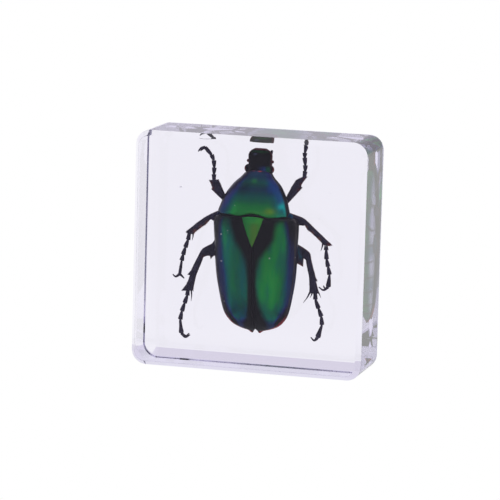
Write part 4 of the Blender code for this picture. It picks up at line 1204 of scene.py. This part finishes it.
def bristleSkin(random, roots, ways, lengths, amber=0.0):
    # each bristle is a thin three-sided spire: three points round the root and one at the tip
    count = len(roots)
    ways = unit(ways + random.normal(0, bristles["waySpread"], (count, 3)))
    lengths = random.uniform(*lengths, count)
    first = unit(np.cross(ways, (0.3, 1.0, 0.2)))
    second = np.cross(ways, first)
    corners = [
        roots + bristles["width"] * (math.cos(turn) * first + math.sin(turn) * second)
        for turn in (0, 2 * math.pi / 3, 4 * math.pi / 3)
    ]
    points = np.stack(corners + [roots + ways * lengths[:, None]], 1).reshape(-1, 3)
    faces = np.array([(0, 1, 3), (1, 2, 3), (2, 0, 3), (2, 1, 0)])
    tris = (faces[None] + 4 * np.arange(count)[:, None, None]).reshape(-1, 3)
    marks = {"amber": np.full(4 * count, amber)}
    return {"points": points, "quads": np.zeros((0, 4), int), "tris": tris, "marks": marks}


def edgeBristles(random, stations, edge, count, lengths, amber=0.0):
    # roots spread along one edge of a limb between its stations, set outwards and leaning to its end
    b = bristles
    read = betweenStations(stations, random.uniform(0, len(stations) - 1, count))
    roots = np.stack([read[edge], read[4] + random.normal(0, b["depthSpread"], count), read[edge + 1]], -1)
    outwards = unit(roots - np.stack([read[2 - edge], read[4], read[3 - edge]], -1))
    way = np.subtract(stations[-1], stations[0])
    along = unit(np.array([way[0] + way[2], 0, way[1] + way[3]]))
    forwards, aside = b["limbLean"]
    ways = along * forwards + outwards * aside
    return bristleSkin(random, roots - outwards * b["sunk"], ways, lengths, amber)


def jointBristles(random, start, end, count):
    # roots on both sides of a tarsus joint, leaning to its end
    b = bristles
    along = unit(end - start)
    aside = random.choice((-1, 1), count)[:, None] * np.cross(along, (0, 1, 0))
    roots = start + random.uniform(*b["jointSpan"], count)[:, None] * (end - start) + aside * b["jointAside"]
    forwards, outwards = b["jointLean"]
    return bristleSkin(random, roots, along * forwards + aside * outwards, b["jointLength"])


def allBristles():
    b = bristles
    random = np.random.default_rng(b["seed"])
    skins = []
    for name, leg in legs.items():
        limb = leg["limb"]
        knee = next(station for kind, station in b["knees"].items() if name.endswith(kind))
        for edge in (0, 2):
            skins.append(edgeBristles(random, limb[knee:], edge, b["perShin"] // 2, b["shinLength"]))
            skins.append(edgeBristles(random, limb[1:knee + 1], edge, b["perThigh"] // 2, b["thighLength"]))
        if name in b["fringed"]:
            edge = b["fringed"][name]
            skins.append(edgeBristles(random, limb[knee:-1], edge, b["perFringe"], b["fringeLength"], 1.0))
        joints = footPlaces(leg)
        skins += [jointBristles(random, start, end, b["perJoint"]) for start, end in zip(joints, joints[1:])]
    return joinSkins(skins)


putPiece("bristles", allBristles(), plainChitin("bristleHorn", bristleLook))


# flecks: specks of dust and tiny bubbles caught in the resin
flecks = {
    # x, y, z, radius
    "places": (
        (-5.11, -2.9, 2.82, 0.11), (-3.96, -3.4, 3.53, 0.05), (-3.9, -3.4, 3.1, 0.04),
        (-4.94, -2.75, -1.53, 0.07), (-5.12, -2.7, -1.52, 0.06), (3.08, -3.75, -0.44, 0.09),
        (-6.47, -0.9, 0.0, 0.05), (6.8, -0.8, -0.35, 0.05), (6.74, -1.0, 5.38, 0.05),
        (-2.95, -3.2, 7.61, 0.05), (-12.72, 1.0, 9.61, 0.09), (-12.9, 1.0, 9.55, 0.06),
        (11.9, 1.0, 10.1, 0.06), (10.27, 1.0, 5.97, 0.05), (-4.4, -2.6, -8.0, 0.045),
    ),
    "patches": {"Dark": (0.8, 0.8, 0.84, 1), "Light": (1, 1, 1, 1), "Low": 0.3, "High": 0.7, "Scale": 6000.0,
                "Detail": 2.0},
    "roughness": 0.6, "ior": 1.2,
}


def fleckMaterial():
    material, tree, shader = newMaterial("trappedFleck")
    patches = addNode(tree, "Group", flecks["patches"], node_tree=softPatches)
    setInputs(tree, shader, {"Base Color": patches.outputs["Color"], "Roughness": flecks["roughness"],
                             "IOR": flecks["ior"]})
    return material


specks = [ballSkin((x, y, z), (r, r, r), 8, 10) for x, y, z, r in flecks["places"]]
putPiece("trappedFlecks", joinSkins(specks), fleckMaterial())
